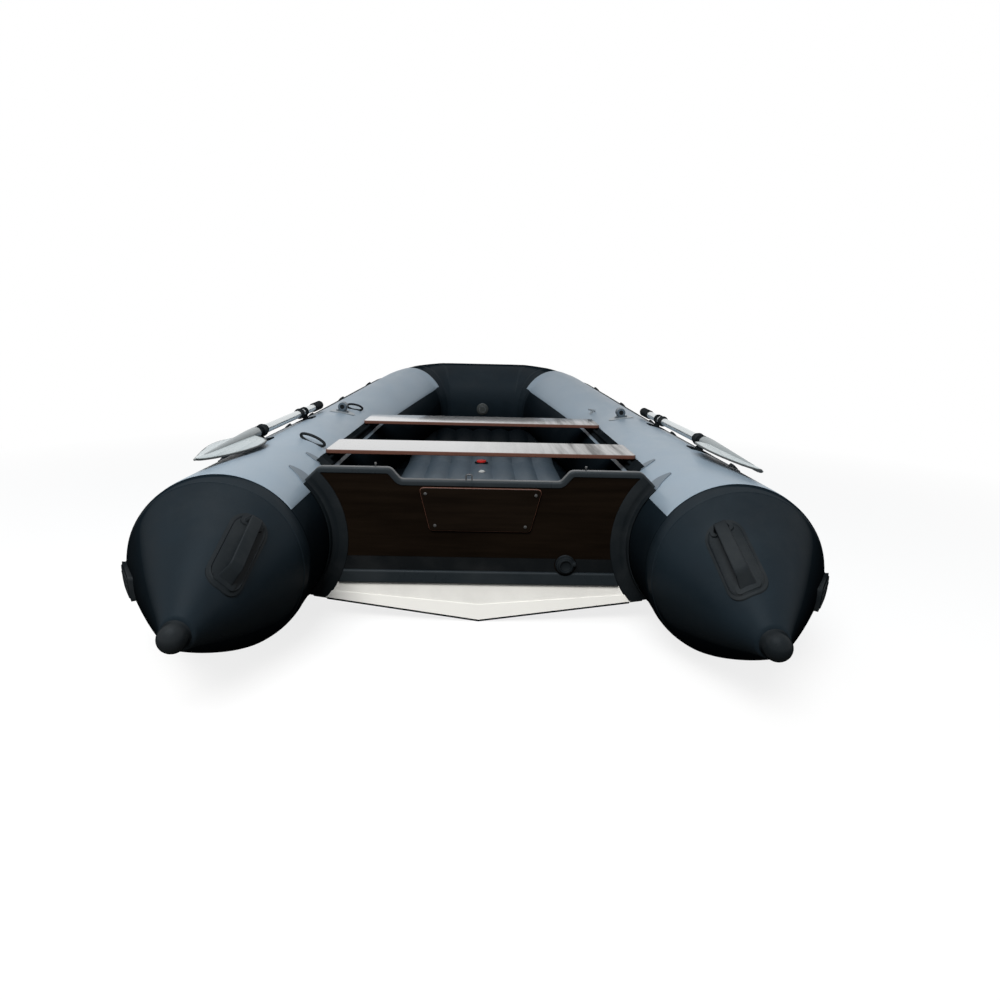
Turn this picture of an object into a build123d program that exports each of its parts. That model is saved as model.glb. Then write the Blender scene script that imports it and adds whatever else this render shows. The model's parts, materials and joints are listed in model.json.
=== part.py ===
from build123d import *
from math import asin, atan2, cos, degrees, radians, sin, sqrt
import os

# Inflatable outboard boat with an air floor, a plywood transom, two bench boards and stowed oars.
# Millimetres. +X is starboard, +Y the bow, +Z up. Z = 0 is the ground under the keel, and X = Y = 0
# is the middle of the boat. Everything is built on the starboard side and mirrored to port.

# ---- Hull tubes
hull_length = 3600          # cone tips to the front of the rub strake
tube_diameter = 430
tube_spacing = 1240         # between the axes of the two side tubes
keel_drop = 15              # the keel line is this much lower than the tubes' undersides
bow_gores = (               # heading off the keel line in degrees, length, rise of its fore end
    (6.0, 300, 20),
    (10.5, 400, 66),
    (12.0, 380, 113),
    (33.0, 150, 135),
    (60.0, 130, 147),
)
fabric = 1.5                # thickness of a glued panel
gap = 0.3                   # between pieces that are glued or lie on each other

# ---- Stern cones
cone_length = 386           # base seam to the tip of the rubber cap
cap_length = 50
cap_radius = 31
cap_drop = 40               # the cap lies lower than the tube's axis
cap_inset = 28              # and nearer the centreline
cap_overlap = 12            # how far the cap reaches over the cone's rounded end
cone_end_radius = 40
cone_end_round = 9
cone_tip_drop = 33          # the cone's end lies lower than the tube's axis
cone_tip_inset = 33         # and nearer the centreline

# ---- Top panels, rub strake
panel_inner_edge = 142      # degrees round the tube from straight outboard
stern_band = 40             # black tape between the cone's seam and the top panel
panel_end = 70              # how far the top panel runs up the last but one gore
strake_width = 54
strake_turn = -4.5          # degrees round the tube from straight outboard
strake_thickness = 10
strake_bead = 7             # radius of the round bead along its middle
strake_end_length = 110
strake_end_width = 56
strake_end_thickness = 14

# ---- Transom
transom_set_in = 264        # from the cone's base seam forward to the transom's aft face
transom_thickness = 28
transom_height = 424        # top of the board's wings above the keel
wing_width = 188            # flat top of each wing
notch_half_width = 216      # floor of the motor notch
notch_slope = 27            # run of the notch's slanted side
notch_depth = 31
corner_drop = 40            # slant at the board's outer top corner
chine_x = 429               # where the V bottom ends at the transom
chine_z = 66
chine_step = 8              # the bottom's sides are this much higher than the transom's chine
trim_wall = 3
trim_flange = 18
seal_top = 184
seal_mid = 147
seal_bottom = 110
seal_thickness = 3
seal_bulge = 12
v_band_height = 44
edging = 5                  # dark edging under the V
pad_gap = 10                # between the trim's lower edge and the pad
pad_height = 106
pad_top_half = 166
pad_bottom_half = 136
pad_thickness = 9
pad_corner = 12
pad_screw_inset = 15
holder_strip = 47           # holder's flange on the transom's face
holder_flange = 24          # holder's flange along the tube
holder_thickness = 3.5
holder_top = 134.5          # degrees round the tube from straight outboard
holder_bottom = 228
holder_fore_bottom = 208    # on the fore face it ends over the bottom
holder_leaf = (             # pointed leaf over the board's corner: forward, outboard round the tube
    (-24, -4), (-20, 6), (-4, 22), (14, 45), (26, 60), (34, 63),
    (43, 58), (54, 40), (60, 22), (58, 6), (52, -4),
)
drain_x = 235
drain_z = 168
drain_radius = 30
eye_x = 285
pin_radius = 2.5
pin_length = 30
pin_rise = 9                # top of the pins over the trim

# ---- Bottom and floor
bottom_top = 95             # top of the V bottom's body
bottom_rise = 118           # how much higher that top is at its fore end
floor_thickness = 46
floor_ribs = 7
rib_pitch = 105
rib_radius = 100
floor_bend = 868            # from the bow chamber's axis back to where the floor starts to rise
floor_end = 228             # from there back to the floor's fore end
floor_valve_place = 928
bottom_stations = (         # back from the bow chamber's axis, keel's height, half width of the body
    (1168, 0, 500),
    (868, 14, 480),
    (438, 66, 400),
    (60, 150, 320),
)

# ---- Benches and rails
bench_length = 972
bench_width = 238
bench_thickness = 12.5
bench_height = 418          # top face above the ground
aft_bench_y = 357           # aft edge, from the transom
fore_bench_place = 322      # its aft edge, back from the end of the straight tube
bench_corner = 14
rail_angle = 133            # degrees round the tube from straight outboard
rail_start = 235            # from the transom
rail_end = 19               # back from the end of the straight tube
rail_stop = (46, 42, 26)    # length, width and height of the block that ends the rail
rail_foot = 44
rail_bead = 6
slider_length = 64
slider_width = 40
slide_clearance = 0.5

# ---- Oars, rowlocks
shaft_radius = 14
oar_front_y = 1240          # from the transom
oar_tip_y = -150
oar_front_x = 690
oar_tip_x = 698
oar_axis_z = 466
blade_length = 430
blade_thickness = 5
blade_tilt = 6              # degrees, outboard edge down
blade_leaf = (              # half widths of the leaf at distances from its socket
    (16, 0), (46, 42), (66, 96), (75, 160), (71, 230), (58, 305), (38, 370), (17, 414),
)
blade_ribs = ((48, 100, 250), (24, 60, 330))    # distance from the middle, start and end
fore_clip_y = 975           # from the transom
clip_gap = 9                # from the blade's socket to the clip ahead of it
collar_places = (-45, 68)   # fore ends of the collars from the two clips
grip_length = 120
grip_overhang = 18          # the grip reaches ahead of the shaft's named end
grip_wall = 8
socket_length = 70
clip_thickness = 4
clip_length = 26
rowlock_place = 244         # back from the end of the straight tube
rowlock_angle = 99
rowlock_patch = 52
rowlock_pedestal = 3
rowlock_disc = 26
rowlock_pin_radius = 6
rowlock_pin_height = 4
rowlock_pin_play = 0.4
barrel_height = 19          # axis of the barrel over the pedestal
barrel_radius = 18
barrel_bore = 8
barrel_length = 48

# ---- Grab lines
line_diameter = 8
line_angle = 44
line_height = 12            # axis of the line over the tube
line_bend = 90              # radius of the line's bends
line_holder_y = (330, 720, 1110)            # from the transom
bow_holder_places = (1218, 778, 378)        # back from the bow chamber's axis
line_lead = 60              # the line starts this far aft of the first holder
line_end = 118              # back from the bow chamber's axis

# ---- Handles, valves, tow ring
handle_pad = (184, 90)
# share of the cone's length from its base, degrees round the cone, twist in degrees
stern_handle_starboard = (0.526, 115.3, 0.2)
stern_handle_port = (0.474, 131.1, -8.7)
handle_grip = 26
handle_rise = 38
handle_bar = 9
valve_radius = 34
bow_valve_angle = -10       # degrees over the middle of the bow's inner face

tube_r = tube_diameter / 2
side_x = tube_spacing / 2
axis_z = keel_drop + tube_r
stern_y = -hull_length / 2
bow_y = hull_length / 2
cone_base_y = stern_y + cone_length
transom_y = cone_base_y + transom_set_in
bow_axis_y = bow_y - strake_thickness - strake_bead - tube_r
bow_reach = bow_axis_y - transom_y          # from the transom to the bow chamber's axis
straight = bow_reach - sum(length * cos(radians(heading)) for heading, length, rise in bow_gores)
up = Vector(0, 0, 1)


# ---------------------------------------------------------------- helpers

def port(shape):
    """The same piece on the other side."""
    return mirror(shape, about=Plane.YZ)


def both(shape):
    """A piece and its mirror image, as one."""
    return shape + port(shape)


def tube_axis():
    """Corners of the starboard half of the tube's axis, from the cone's seam to the middle of the bow."""
    run_x = sum(length * sin(radians(heading)) for heading, length, rise in bow_gores)
    run_y = sum(length * cos(radians(heading)) for heading, length, rise in bow_gores)
    points = [
        Vector(side_x, cone_base_y, axis_z),
        Vector(side_x, bow_axis_y - run_y, axis_z),
    ]
    for heading, length, rise in bow_gores:
        last = points[-1]
        step_x = length * sin(radians(heading))
        step_y = length * cos(radians(heading))
        points.append(Vector(last.X - step_x, last.Y + step_y, axis_z + rise))
    points.append(Vector(0, bow_axis_y, points[-1].Z))
    return points


def across(start, end):
    """Plane across a run: its x points outboard, its y up, its z back to where the run came from."""
    along = (end - start).normalized()
    return Plane(origin=start, x_dir=along.cross(up).normalized(), z_dir=-along)


def run(points, section, first=0, last=None, overlap=400):
    """A section carried along straight runs that are mitred at the corners."""
    last = len(points) - 1 if last is None else last
    made = None
    for i in range(first, last):
        start, end = points[i], points[i + 1]
        along = (end - start).normalized()
        lead = overlap if i > 0 else 0
        tail = overlap if i + 2 < len(points) else 0
        length = (end - start).length
        piece = extrude(across(start, end).offset(lead) * section, amount=-(lead + length + tail))
        if lead:
            before = (start - points[i - 1]).normalized()
            piece = split(piece, bisect_by=Plane(origin=start, z_dir=before + along), keep=Keep.TOP)
        if tail:
            after = (points[i + 2] - end).normalized()
            piece = split(piece, bisect_by=Plane(origin=end, z_dir=after + along), keep=Keep.BOTTOM)
        made = piece if made is None else made + piece
    return made


def sector(inner, outer, low, high):
    """Part of a ring in a section, between two angles from straight outboard."""
    reach = 2 * outer
    corners = [(0, 0)]
    steps = max(2, int((high - low) / 45) + 1)
    for i in range(steps + 1):
        angle = radians(low + (high - low) * i / steps)
        corners.append((reach * cos(angle), reach * sin(angle)))
    wedge = make_face(Polyline(*corners, close=True))
    return (Circle(outer) - Circle(inner)) & wedge


def on_tube(from_transom, angle, height=0.0):
    """Plane on the tube's skin: x along the tube, z straight out of the skin."""
    points = tube_axis()
    y = transom_y + from_transom
    for start, end in zip(points, points[1:]):
        if start.Y <= y <= end.Y:
            break
    plane = across(start, end)
    centre = start + (end - start) * ((y - start.Y) / (end.Y - start.Y))
    out = plane.x_dir * cos(radians(angle)) + plane.y_dir * sin(radians(angle))
    return Plane(origin=centre + out * (tube_r + height), x_dir=-plane.z_dir, z_dir=out)


def skin_radius():
    """Radius over the top panel, where things are glued on."""
    return tube_r + gap + fabric + gap


def seam_point(i, angle, height):
    """Point over the tube's skin where its runs meet at corner i, at an angle round the tube."""
    points = tube_axis()
    before = across(points[i - 1], points[i])
    seam = before.z_dir + across(points[i], points[i + 1]).z_dir
    out = (before.x_dir * cos(radians(angle)) + before.y_dir * sin(radians(angle))) * (tube_r + height)
    return points[i] + out - before.z_dir * (out.dot(seam) / before.z_dir.dot(seam))


def plate(outline, y_aft, thickness):
    """An upright plate: its outline in x and z, its aft face at y_aft."""
    face = make_face(Polyline(*outline, close=True))
    upright = Plane(origin=(0, y_aft, 0), x_dir=(1, 0, 0), z_dir=(0, -1, 0))
    return extrude(upright * face, amount=-thickness)


def tube_solid(extra=0.0):
    """The whole starboard half of the tube, grown by extra, for cutting what lies against it."""
    return run(tube_axis(), Circle(tube_r + extra))


def cone_solid(extra=0.0):
    """The starboard stern cone up to its cap, grown by extra."""
    tip_y = stern_y + cap_length
    tip = Plane(
        origin=(side_x - cone_tip_inset, tip_y, axis_z - cone_tip_drop),
        x_dir=(1, 0, 0),
        z_dir=(0, -1, 0),
    )
    base = Plane(origin=(side_x, cone_base_y, axis_z), x_dir=(1, 0, 0), z_dir=(0, -1, 0))
    cone = loft([base * Circle(tube_r + extra), tip * Circle(cone_end_radius + extra)], ruled=True)
    return fillet(cone.edges().group_by(Axis.Y)[0], cone_end_round)


def on_cone(along, angle, height=0.0):
    """Plane on the cone's skin, a share along it from base to cap: x up its slope to the base."""
    def skin(share, turn):
        centre = Vector(
            side_x - cone_tip_inset * share,
            cone_base_y - (cone_length - cap_length) * share,
            axis_z - cone_tip_drop * share,
        )
        radius = tube_r + (cone_end_radius - tube_r) * share
        return centre + Vector(cos(radians(turn)), 0, sin(radians(turn))) * radius

    step = 0.01
    here = skin(along, angle)
    slope = (skin(along - step, angle) - here).normalized()
    round_it = (skin(along, angle + 1) - here).normalized()
    out = round_it.cross(slope).normalized()
    if out.dot(Vector(cos(radians(angle)), 0, sin(radians(angle)))) < 0:
        out = out * -1
    return Plane(origin=here + out * height, x_dir=slope, z_dir=out)


# ---------------------------------------------------------------- hull

def side_tube():
    """Side air chamber: straight tube, three gores and the stern cone."""
    return run(tube_axis(), Circle(tube_r), last=4) + cone_solid()


def bow_tube():
    """Bow air chamber, between the mitres of the last but one gores."""
    return both(run(tube_axis(), Circle(tube_r), first=4))


def top_panel():
    """Grey fabric panel over the top of the side tube, on to the bow chamber."""
    points = tube_axis()[:5]
    points[0] = points[0] + Vector(0, stern_band, 0)
    onward = tube_axis()[5] - points[4]
    points.append(points[4] + onward * (panel_end / onward.length))
    inner = tube_r + gap
    return run(points, sector(inner, inner + fabric, strake_turn + strake_angle() + 1, panel_inner_edge))


def strake_angle():
    """Half the angle that the rub strake covers."""
    return degrees(asin(strake_width / 2 / tube_r))


def rub_strake():
    """Rubber strake round the outside of the hull, with a round bead."""
    inner = tube_r + gap
    half, crest = strake_angle(), tube_r + strake_thickness
    band = sector(inner, crest, strake_turn - half, strake_turn + half)
    bead = Pos(crest * cos(radians(strake_turn)), crest * sin(radians(strake_turn))) * Circle(strake_bead)
    return both(run(tube_axis(), band + bead))


def strake_end():
    """Moulded end of the strake, lying on the cone."""
    grown = cone_solid(strake_end_thickness) - cone_solid(gap)
    z = axis_z + tube_r * sin(radians(strake_turn))
    block = Pos(side_x + tube_r, cone_base_y - strake_end_length / 2, z) * Box(
        tube_r, strake_end_length, strake_end_width
    )
    return grown & block


def cone_cap():
    """Round rubber cap on the cone's tip."""
    tip_y = stern_y + cap_length
    centre = (side_x - cap_inset, axis_z - cap_drop)
    straight = cap_length - cap_radius
    seat = Plane(origin=(centre[0], tip_y, centre[1]), x_dir=(1, 0, 0), z_dir=(0, -1, 0))
    barrel = extrude(seat.offset(-cap_overlap) * Circle(cap_radius), amount=straight + cap_overlap)
    dome = Pos(centre[0], tip_y - straight, centre[1]) * Sphere(cap_radius)
    return barrel + dome - cone_solid(gap)


def grab_handle(plane, skin, grown):
    """Rubber grab handle: a pad that follows the skin, and an arched grip. x runs along the grip."""
    length, width = handle_pad
    pad = extrude(plane.offset(-60) * RectangleRounded(length, width, width / 3), amount=120)
    pad = (grown - skin) & pad
    half = length / 2 - 26
    rise, bar = handle_rise, handle_bar
    outer = Polyline((-half, -14), (-half + 22, rise), (half - 22, rise), (half, -14), close=True)
    inner = Polyline(
        (-half + bar + 5, -15), (-half + 22 + bar, rise - bar),
        (half - 22 - bar, rise - bar), (half - bar - 5, -15), close=True,
    )
    side = Plane(origin=plane.origin, x_dir=plane.x_dir, z_dir=-plane.y_dir)
    arch = make_face(outer) - make_face(inner)
    grip = extrude(side.offset(-handle_grip / 2) * arch, amount=handle_grip)
    return pad + (grip - skin)


def stern_handle(place):
    """Grab handle on the inner upper side of the stern cone, aslant."""
    share, turn, twist = place
    plane = on_cone(share, turn).rotated((0, 0, twist))
    return grab_handle(plane, cone_solid(gap), cone_solid(gap + 3))


def bow_plane(angle, height=0.0):
    """Plane on the front of the bow: x to port, z out of the skin, angle above level."""
    top = tube_axis()[-1]
    out = Vector(0, cos(radians(angle)), sin(radians(angle)))
    return Plane(origin=top + out * (tube_r + height), x_dir=(-1, 0, 0), z_dir=out)


def bow_handle():
    """Carrying handle on the front of the bow."""
    points = tube_axis()[-2:]
    front = both(run(points, Circle(tube_r + gap)))
    grown = both(run(points, Circle(tube_r + gap + 3)))
    return grab_handle(bow_plane(42), front, grown)


def tow_ring():
    """Round tow ring in a moulded patch under the bow."""
    plane = bow_plane(-38)
    points = tube_axis()[-2:]
    front = both(run(points, Circle(tube_r + gap)))
    patch = extrude(plane.offset(-40) * Circle(44), amount=40 + 3.5) - front
    lug = extrude(plane.offset(-5) * SlotOverall(30, 14), amount=5 + 16) - front
    ring = plane * (Pos(0, 0, 24) * Rot(0, 90, 0) * Torus(14, 3))
    return patch + lug + ring


# ---------------------------------------------------------------- bottom and floor

def bottom_lift(from_transom):
    """How much higher the bottom's top is here than at the transom."""
    bend = bow_reach - floor_bend
    return max(0.0, (from_transom - bend) / floor_bend) * bottom_rise


def bottom_station(from_transom, keel_z, half):
    """Outline of the V bottom at one station; it reaches into the tubes and is cut back later."""
    lift = bottom_lift(from_transom)
    top, side = bottom_top + lift, chine_z + chine_step + lift
    points = [(0, keel_z), (half, side), (half, top), (-half, top), (-half, side)]
    face = make_face(Polyline(*points, close=True))
    return Plane(origin=(0, transom_y + from_transom, 0), x_dir=(1, 0, 0), z_dir=(0, -1, 0)) * face


def hull_bottom():
    """White V-shaped bottom between the tubes, whose keel rises to the bow."""
    aft_keel, aft_half = bottom_stations[0][1:]
    stations = [bottom_station(transom_thickness, aft_keel, aft_half)]
    stations += [bottom_station(bow_reach - back, keel_z, half) for back, keel_z, half in bottom_stations]
    body = loft(stations, ruled=True)
    return body - both(tube_solid(gap))


def rib_section():
    """Section of the air floor: flat under, scalloped by its lengthwise ribs on top."""
    half = floor_ribs * rib_pitch / 2
    valley = floor_thickness - (rib_radius - sqrt(rib_radius**2 - (rib_pitch / 2) ** 2))
    section = make_face(Polyline((-half, 0), (half, 0), (half, valley), (-half, valley), close=True))
    for i in range(floor_ribs):
        x = -half + rib_pitch * (i + 0.5)
        strip = Pos(x, floor_thickness / 2) * Rectangle(rib_pitch, floor_thickness)
        section += (Pos(x, floor_thickness - rib_radius) * Circle(rib_radius)) & strip
    return section


def air_floor():
    """Ribbed grey air floor; its fore end lifts with the bow."""
    base_z = bottom_top + gap
    start = Vector(0, transom_y + transom_thickness + pad_thickness + 2, base_z)
    bend = Vector(0, bow_axis_y - floor_bend, base_z)
    end = Vector(0, bow_axis_y - floor_end, base_z + bottom_lift(bow_reach - floor_end))
    return run([start, bend, end], rib_section()) - both(tube_solid(gap))


def floor_valve():
    """Round air valve with a red cap, in the middle of the floor."""
    z = bottom_top + gap + floor_thickness
    seat = Plane(origin=(0, bow_axis_y - floor_valve_place, z + gap))
    flange = extrude(seat * Circle(34), amount=4)
    return flange + extrude(seat.offset(4) * Circle(24), amount=10)


# ---------------------------------------------------------------- transom

def v_line(x):
    """Height of the V's lower edge at the transom."""
    return edging + (chine_z - edging) * x / chine_x


def board_outline():
    """Right half of the transom board, from the keel up and round to the notch."""
    wing_in = notch_half_width + notch_slope
    wing_out = wing_in + wing_width
    return [
        (0, edging),
        (chine_x, chine_z),
        (chine_x + 60, v_line(chine_x + 60)),
        (chine_x + 110, transom_height - corner_drop),
        (wing_out + corner_drop, transom_height - corner_drop),
        (wing_out, transom_height),
        (wing_in, transom_height),
        (notch_half_width, transom_height - notch_depth),
    ]


def mirrored(outline):
    """A right-hand half outline closed by its mirror image."""
    return outline + [(-x, z) for x, z in reversed(outline) if x > 0]


def transom_board():
    """Plywood transom, cut to lie against the tubes."""
    board = plate(mirrored(board_outline()), transom_y, transom_thickness)
    return board - both(tube_solid(2 * gap + fabric))


def trim_block(extra=0.0):
    """Outer form of the transom's trim, before it is hollowed and cut to the tubes."""
    wing_in = notch_half_width + notch_slope
    wing_out = wing_in + wing_width
    low = transom_height - notch_depth
    edge = [
        (wing_out + corner_drop - 8, transom_height - corner_drop + 8),
        (wing_out, transom_height), (wing_in, transom_height), (notch_half_width, low),
    ]
    half = edge + [(0, low)]
    top = [(x, z + trim_wall + extra) for x, z in half]
    skirt = [(x, z - trim_flange - extra) for x, z in half]
    outline = top + [(-x, z) for x, z in reversed(top[:-1])]
    outline += [(-x, z) for x, z in skirt] + list(reversed(skirt[:-1]))
    depth = trim_wall + extra
    return plate(outline, transom_y - depth, transom_thickness + 2 * depth), half


def transom_trim():
    """Channel profile over the top edge of the transom."""
    block, half = trim_block()
    inner_top = [(x, z + gap) for x, z in half]
    core = inner_top + [(-x, z) for x, z in reversed(inner_top[:-1])]
    core += [(-x, z - 60) for x, z in half] + [(x, z - 60) for x, z in reversed(half[:-1])]
    slot = plate(core, transom_y - gap, transom_thickness + 2 * gap)
    return block - slot - both(tube_solid(2 * gap + fabric))


def motor_pad(aft):
    """Pad that spreads the motor clamp's load, with four screws, on either face of the transom."""
    pad_top = transom_height - notch_depth - trim_flange - pad_gap
    pad_bottom = pad_top - pad_height
    corners = [
        (-pad_top_half, pad_top), (pad_top_half, pad_top),
        (pad_bottom_half, pad_bottom), (-pad_bottom_half, pad_bottom),
    ]
    y = transom_y - pad_thickness - gap if aft else transom_y + transom_thickness + gap
    pad = plate(corners, y, pad_thickness)
    upright = pad.edges().filter_by(Axis.Y)
    pad = fillet(upright, pad_corner)
    for side in (-1, 1):
        for x, z in ((pad_top_half - 2, pad_top), (pad_bottom_half - 2, pad_bottom + 2 * pad_screw_inset)):
            face_y = y if aft else y + pad_thickness
            head = Plane(
                origin=(side * (x - pad_screw_inset), face_y, z - pad_screw_inset),
                z_dir=(0, -1 if aft else 1, 0),
            )
            pad += extrude(head * Circle(6), amount=2.5)
    return pad


def bottom_panel():
    """White fabric over the V-shaped foot of the transom."""
    upper = seal_bottom - gap
    half = [(0, v_line(0)), (chine_x, v_line(chine_x)), (chine_x - 33, upper)]
    return plate(mirrored(half), transom_y - gap - fabric, fabric)


def v_band():
    """White strip along the V, where the bottom's fabric is turned up on to the transom."""
    end = chine_x - 8
    half = [
        (0, v_line(0)), (end, v_line(end)),
        (end - 8, v_line(end) + v_band_height * 0.45), (0, v_line(0) + v_band_height),
    ]
    outline = half[:3] + [half[3]] + [(-x, z) for x, z in reversed(half[1:3])]
    return plate(outline, transom_y - 2 * (gap + fabric), fabric)


def transom_edging():
    """Dark edging under the foot of the transom."""
    top = [(0, v_line(0) - gap), (chine_x + 20, v_line(chine_x + 20) - gap)]
    half_low = [(chine_x + 20, v_line(chine_x + 20) - edging), (0, 0)]
    outline = [top[0], top[1]] + half_low + [(-half_low[0][0], half_low[0][1]), (-top[1][0], top[1][1])]
    piece = plate(outline, transom_y - 4, transom_thickness + 4 - gap)
    return piece - both(holder_room())


def holder_room():
    """The room round the starboard tube that the transom's holder takes."""
    room = skin_radius() + holder_strip + gap
    return Pos(side_x, transom_y, axis_z) * Rot(90, 0, 0) * Cylinder(room, 200)


def drain_room():
    """The room of the drain valve, for the strips under it."""
    return Pos(drain_x, transom_y, drain_z) * Rot(90, 0, 0) * Cylinder(drain_radius + gap, 60)


def seal(low, high, thickness):
    """Black strip across the transom between two heights."""
    half = [(0, low), (chine_x + 60, low), (chine_x + 60, high), (0, high)]
    outline = half[:3] + [(-x, z) for x, z in reversed(half[1:3])]
    piece = plate(outline, transom_y - gap - thickness, thickness)
    return piece - both(holder_room()) - drain_room()


def lower_seal():
    """Lower, rounded strip with the bottom's gusset."""
    piece = seal(seal_bottom, seal_mid - gap, seal_bulge)
    aft = piece.edges().filter_by(Axis.X).group_by(Axis.Y)[0]
    return fillet(aft, 5.5)


def holder_leaf_solid():
    """Pointed leaf that lies on the tube over the board's top corner and joins both angles."""
    inner = skin_radius()
    seat = on_tube(0, holder_top)
    low, high = holder_leaf[0][0], max(forward for forward, outboard in holder_leaf)
    shell = side_run(sector(inner, inner + holder_thickness, 110, holder_top + 2), low, high)
    outline = make_face(Polyline(*[(forward, -outboard) for forward, outboard in holder_leaf], close=True))
    return shell & extrude(seat.offset(-40) * outline, amount=80)


def transom_holder():
    """Rubber angles between transom and tube, on both faces of the board, joined by a leaf on top."""
    inner = skin_radius()
    aft_face = Plane(origin=(side_x, transom_y - gap, axis_z), x_dir=(1, 0, 0), z_dir=(0, -1, 0))
    fore_face = aft_face.offset(-(transom_thickness + 2 * gap))
    whole = holder_leaf_solid()
    for face, bottom, ahead in ((aft_face, holder_bottom, 1), (fore_face, holder_fore_bottom, -1)):
        on_face = sector(inner, inner + holder_strip, holder_top, bottom)
        on_skin = sector(inner, inner + holder_thickness, holder_top, bottom)
        whole += extrude(face * on_face, amount=ahead * holder_thickness)
        whole += extrude(face * on_skin, amount=ahead * holder_flange)
    board_room = plate(mirrored(board_outline()), transom_y - gap, transom_thickness + 2 * gap)
    near, far = side_x - tube_r - holder_strip, side_x + tube_r
    above_v = [(near, v_line(near)), (far, v_line(far)), (far, 2 * axis_z), (near, 2 * axis_z)]
    whole &= plate(above_v, transom_y - tube_r, 2 * tube_r)
    return whole - board_room - v_band() - bottom_panel() - trim_block(gap)[0]


def drain_valve():
    """Drain valve at the foot of the transom."""
    seat = Plane(origin=(drain_x, transom_y - gap, drain_z), x_dir=(1, 0, 0), z_dir=(0, -1, 0))
    body = extrude(seat * Circle(drain_radius), amount=14) + extrude(seat.offset(14) * Circle(20), amount=8)
    body -= extrude(seat.offset(16) * Circle(13), amount=20)
    return body + extrude(seat.offset(14) * (Pos(23, 6) * Circle(7)), amount=9)


def transom_eyes():
    """Two small pins on the wings and a wire staple over the notch."""
    eyes = None
    y = transom_y + transom_thickness + trim_wall + gap + pin_radius
    for side in (-1, 1):
        pin = Pos(side * eye_x, y, transom_height + trim_wall + pin_rise - pin_length / 2)
        pin = pin * Cylinder(pin_radius, pin_length)
        eyes = pin if eyes is None else eyes + pin
    z = transom_height - notch_depth + trim_wall + gap
    wire = 2
    for x in (-40, -24):
        eyes += Pos(x, transom_y + 10, z + 6) * Cylinder(wire, 12)
    eyes += Pos(-32, transom_y + 10, z + 12) * Rot(0, 90, 0) * Cylinder(wire, 20)
    return eyes


# ---------------------------------------------------------------- benches

def side_run(section, start, end):
    """A section of the starboard tube carried along between two distances from the transom."""
    plane = Plane(origin=(side_x, transom_y + start, axis_z), x_dir=(1, 0, 0), z_dir=(0, -1, 0))
    return extrude(plane * section, amount=-(end - start))


def bead_centre():
    """Middle of the rail's bead in the tube's section."""
    reach = skin_radius() + 2.5 + rail_bead
    return Pos(reach * cos(radians(rail_angle)), reach * sin(radians(rail_angle)))


def bench_rail():
    """Rail glued along the tube, with a round bead that the bench's sliders grip."""
    half = degrees(asin(rail_foot / 2 / tube_r))
    inner = skin_radius()
    foot = sector(inner, inner + 2.5, rail_angle - half, rail_angle + half)
    neck = sector(inner + 1, inner + 2.5 + rail_bead, rail_angle - 0.8, rail_angle + 0.8)
    rail = side_run(foot + neck + bead_centre() * Circle(rail_bead), rail_start, straight - rail_end)
    length, width, height = rail_stop
    block = bead_centre() * Rot(0, 0, rail_angle - 90) * RectangleRounded(width, height, 4) - Circle(inner + 1)
    return rail + side_run(block, rail_start, rail_start + length)


def slider(from_transom):
    """Slider under one end of a bench, closed round the rail's bead."""
    inner = skin_radius() + 2.5
    under_bench = bench_height - bench_thickness - gap - axis_z
    body = bead_centre() * Rot(0, 0, rail_angle - 90) * Pos(0, 6) * RectangleRounded(slider_width, 26, 4)
    slot = sector(tube_r - 5, inner + rail_bead, rail_angle - 1.4, rail_angle + 1.4)
    body -= Circle(inner + slide_clearance) + slot + bead_centre() * Circle(rail_bead + slide_clearance)
    body &= Pos(0, under_bench - 100) * Rectangle(1000, 200)
    centre = from_transom + bench_width / 2
    return side_run(body, centre - slider_length / 2, centre + slider_length / 2)


def bench(from_transom):
    """Plywood bench board."""
    y = transom_y + from_transom + bench_width / 2
    z = bench_height - bench_thickness / 2
    board = Pos(0, y, z) * Box(bench_length, bench_width, bench_thickness)
    board = fillet(board.edges().filter_by(Axis.Z), bench_corner)
    return chamfer(board.edges().filter_by(Plane.XY), 1.5)


# ---------------------------------------------------------------- oars and rowlocks

def oar_plane():
    """At the oar's fore end: z aft along the shaft, x outboard along the blade."""
    start = Vector(oar_front_x, transom_y + oar_front_y, oar_axis_z)
    end = Vector(oar_tip_x, transom_y + oar_tip_y, oar_axis_z)
    aft = (end - start).normalized()
    tilt = radians(blade_tilt)
    flat = aft.cross(up).normalized() * -1
    across_blade = flat * cos(tilt) - up * sin(tilt)
    return Plane(origin=start, x_dir=across_blade, z_dir=aft)


def oar_shaft():
    """Aluminium tube of the oar, from the grip to the blade's socket."""
    length = oar_front_y - oar_tip_y - blade_length
    ring = Circle(shaft_radius) - Circle(shaft_radius - 1.5)
    return extrude(oar_plane().offset(grip_wall - grip_overhang) * ring, amount=length)


def oar_grip():
    """Rubber grip over the fore end of the shaft."""
    plane = oar_plane().offset(-grip_overhang)
    grip = extrude(plane * Circle(shaft_radius + 3), amount=grip_length)
    bore = extrude(plane.offset(grip_wall - gap) * Circle(shaft_radius + 0.1), amount=2 * grip_length)
    return fillet((grip - bore).edges().filter_by(GeomType.CIRCLE).group_by(Axis.Y)[-1], 2)


def oar_collar(along):
    """Collar on the shaft at a distance from its fore end."""
    sleeve = Circle(shaft_radius + 3) - Circle(shaft_radius + 0.1)
    flange = Circle(shaft_radius + 6) - Circle(shaft_radius + 0.1)
    made = extrude(oar_plane().offset(along) * sleeve, amount=46)
    return made + extrude(oar_plane().offset(along + 20) * flange, amount=6)


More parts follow.
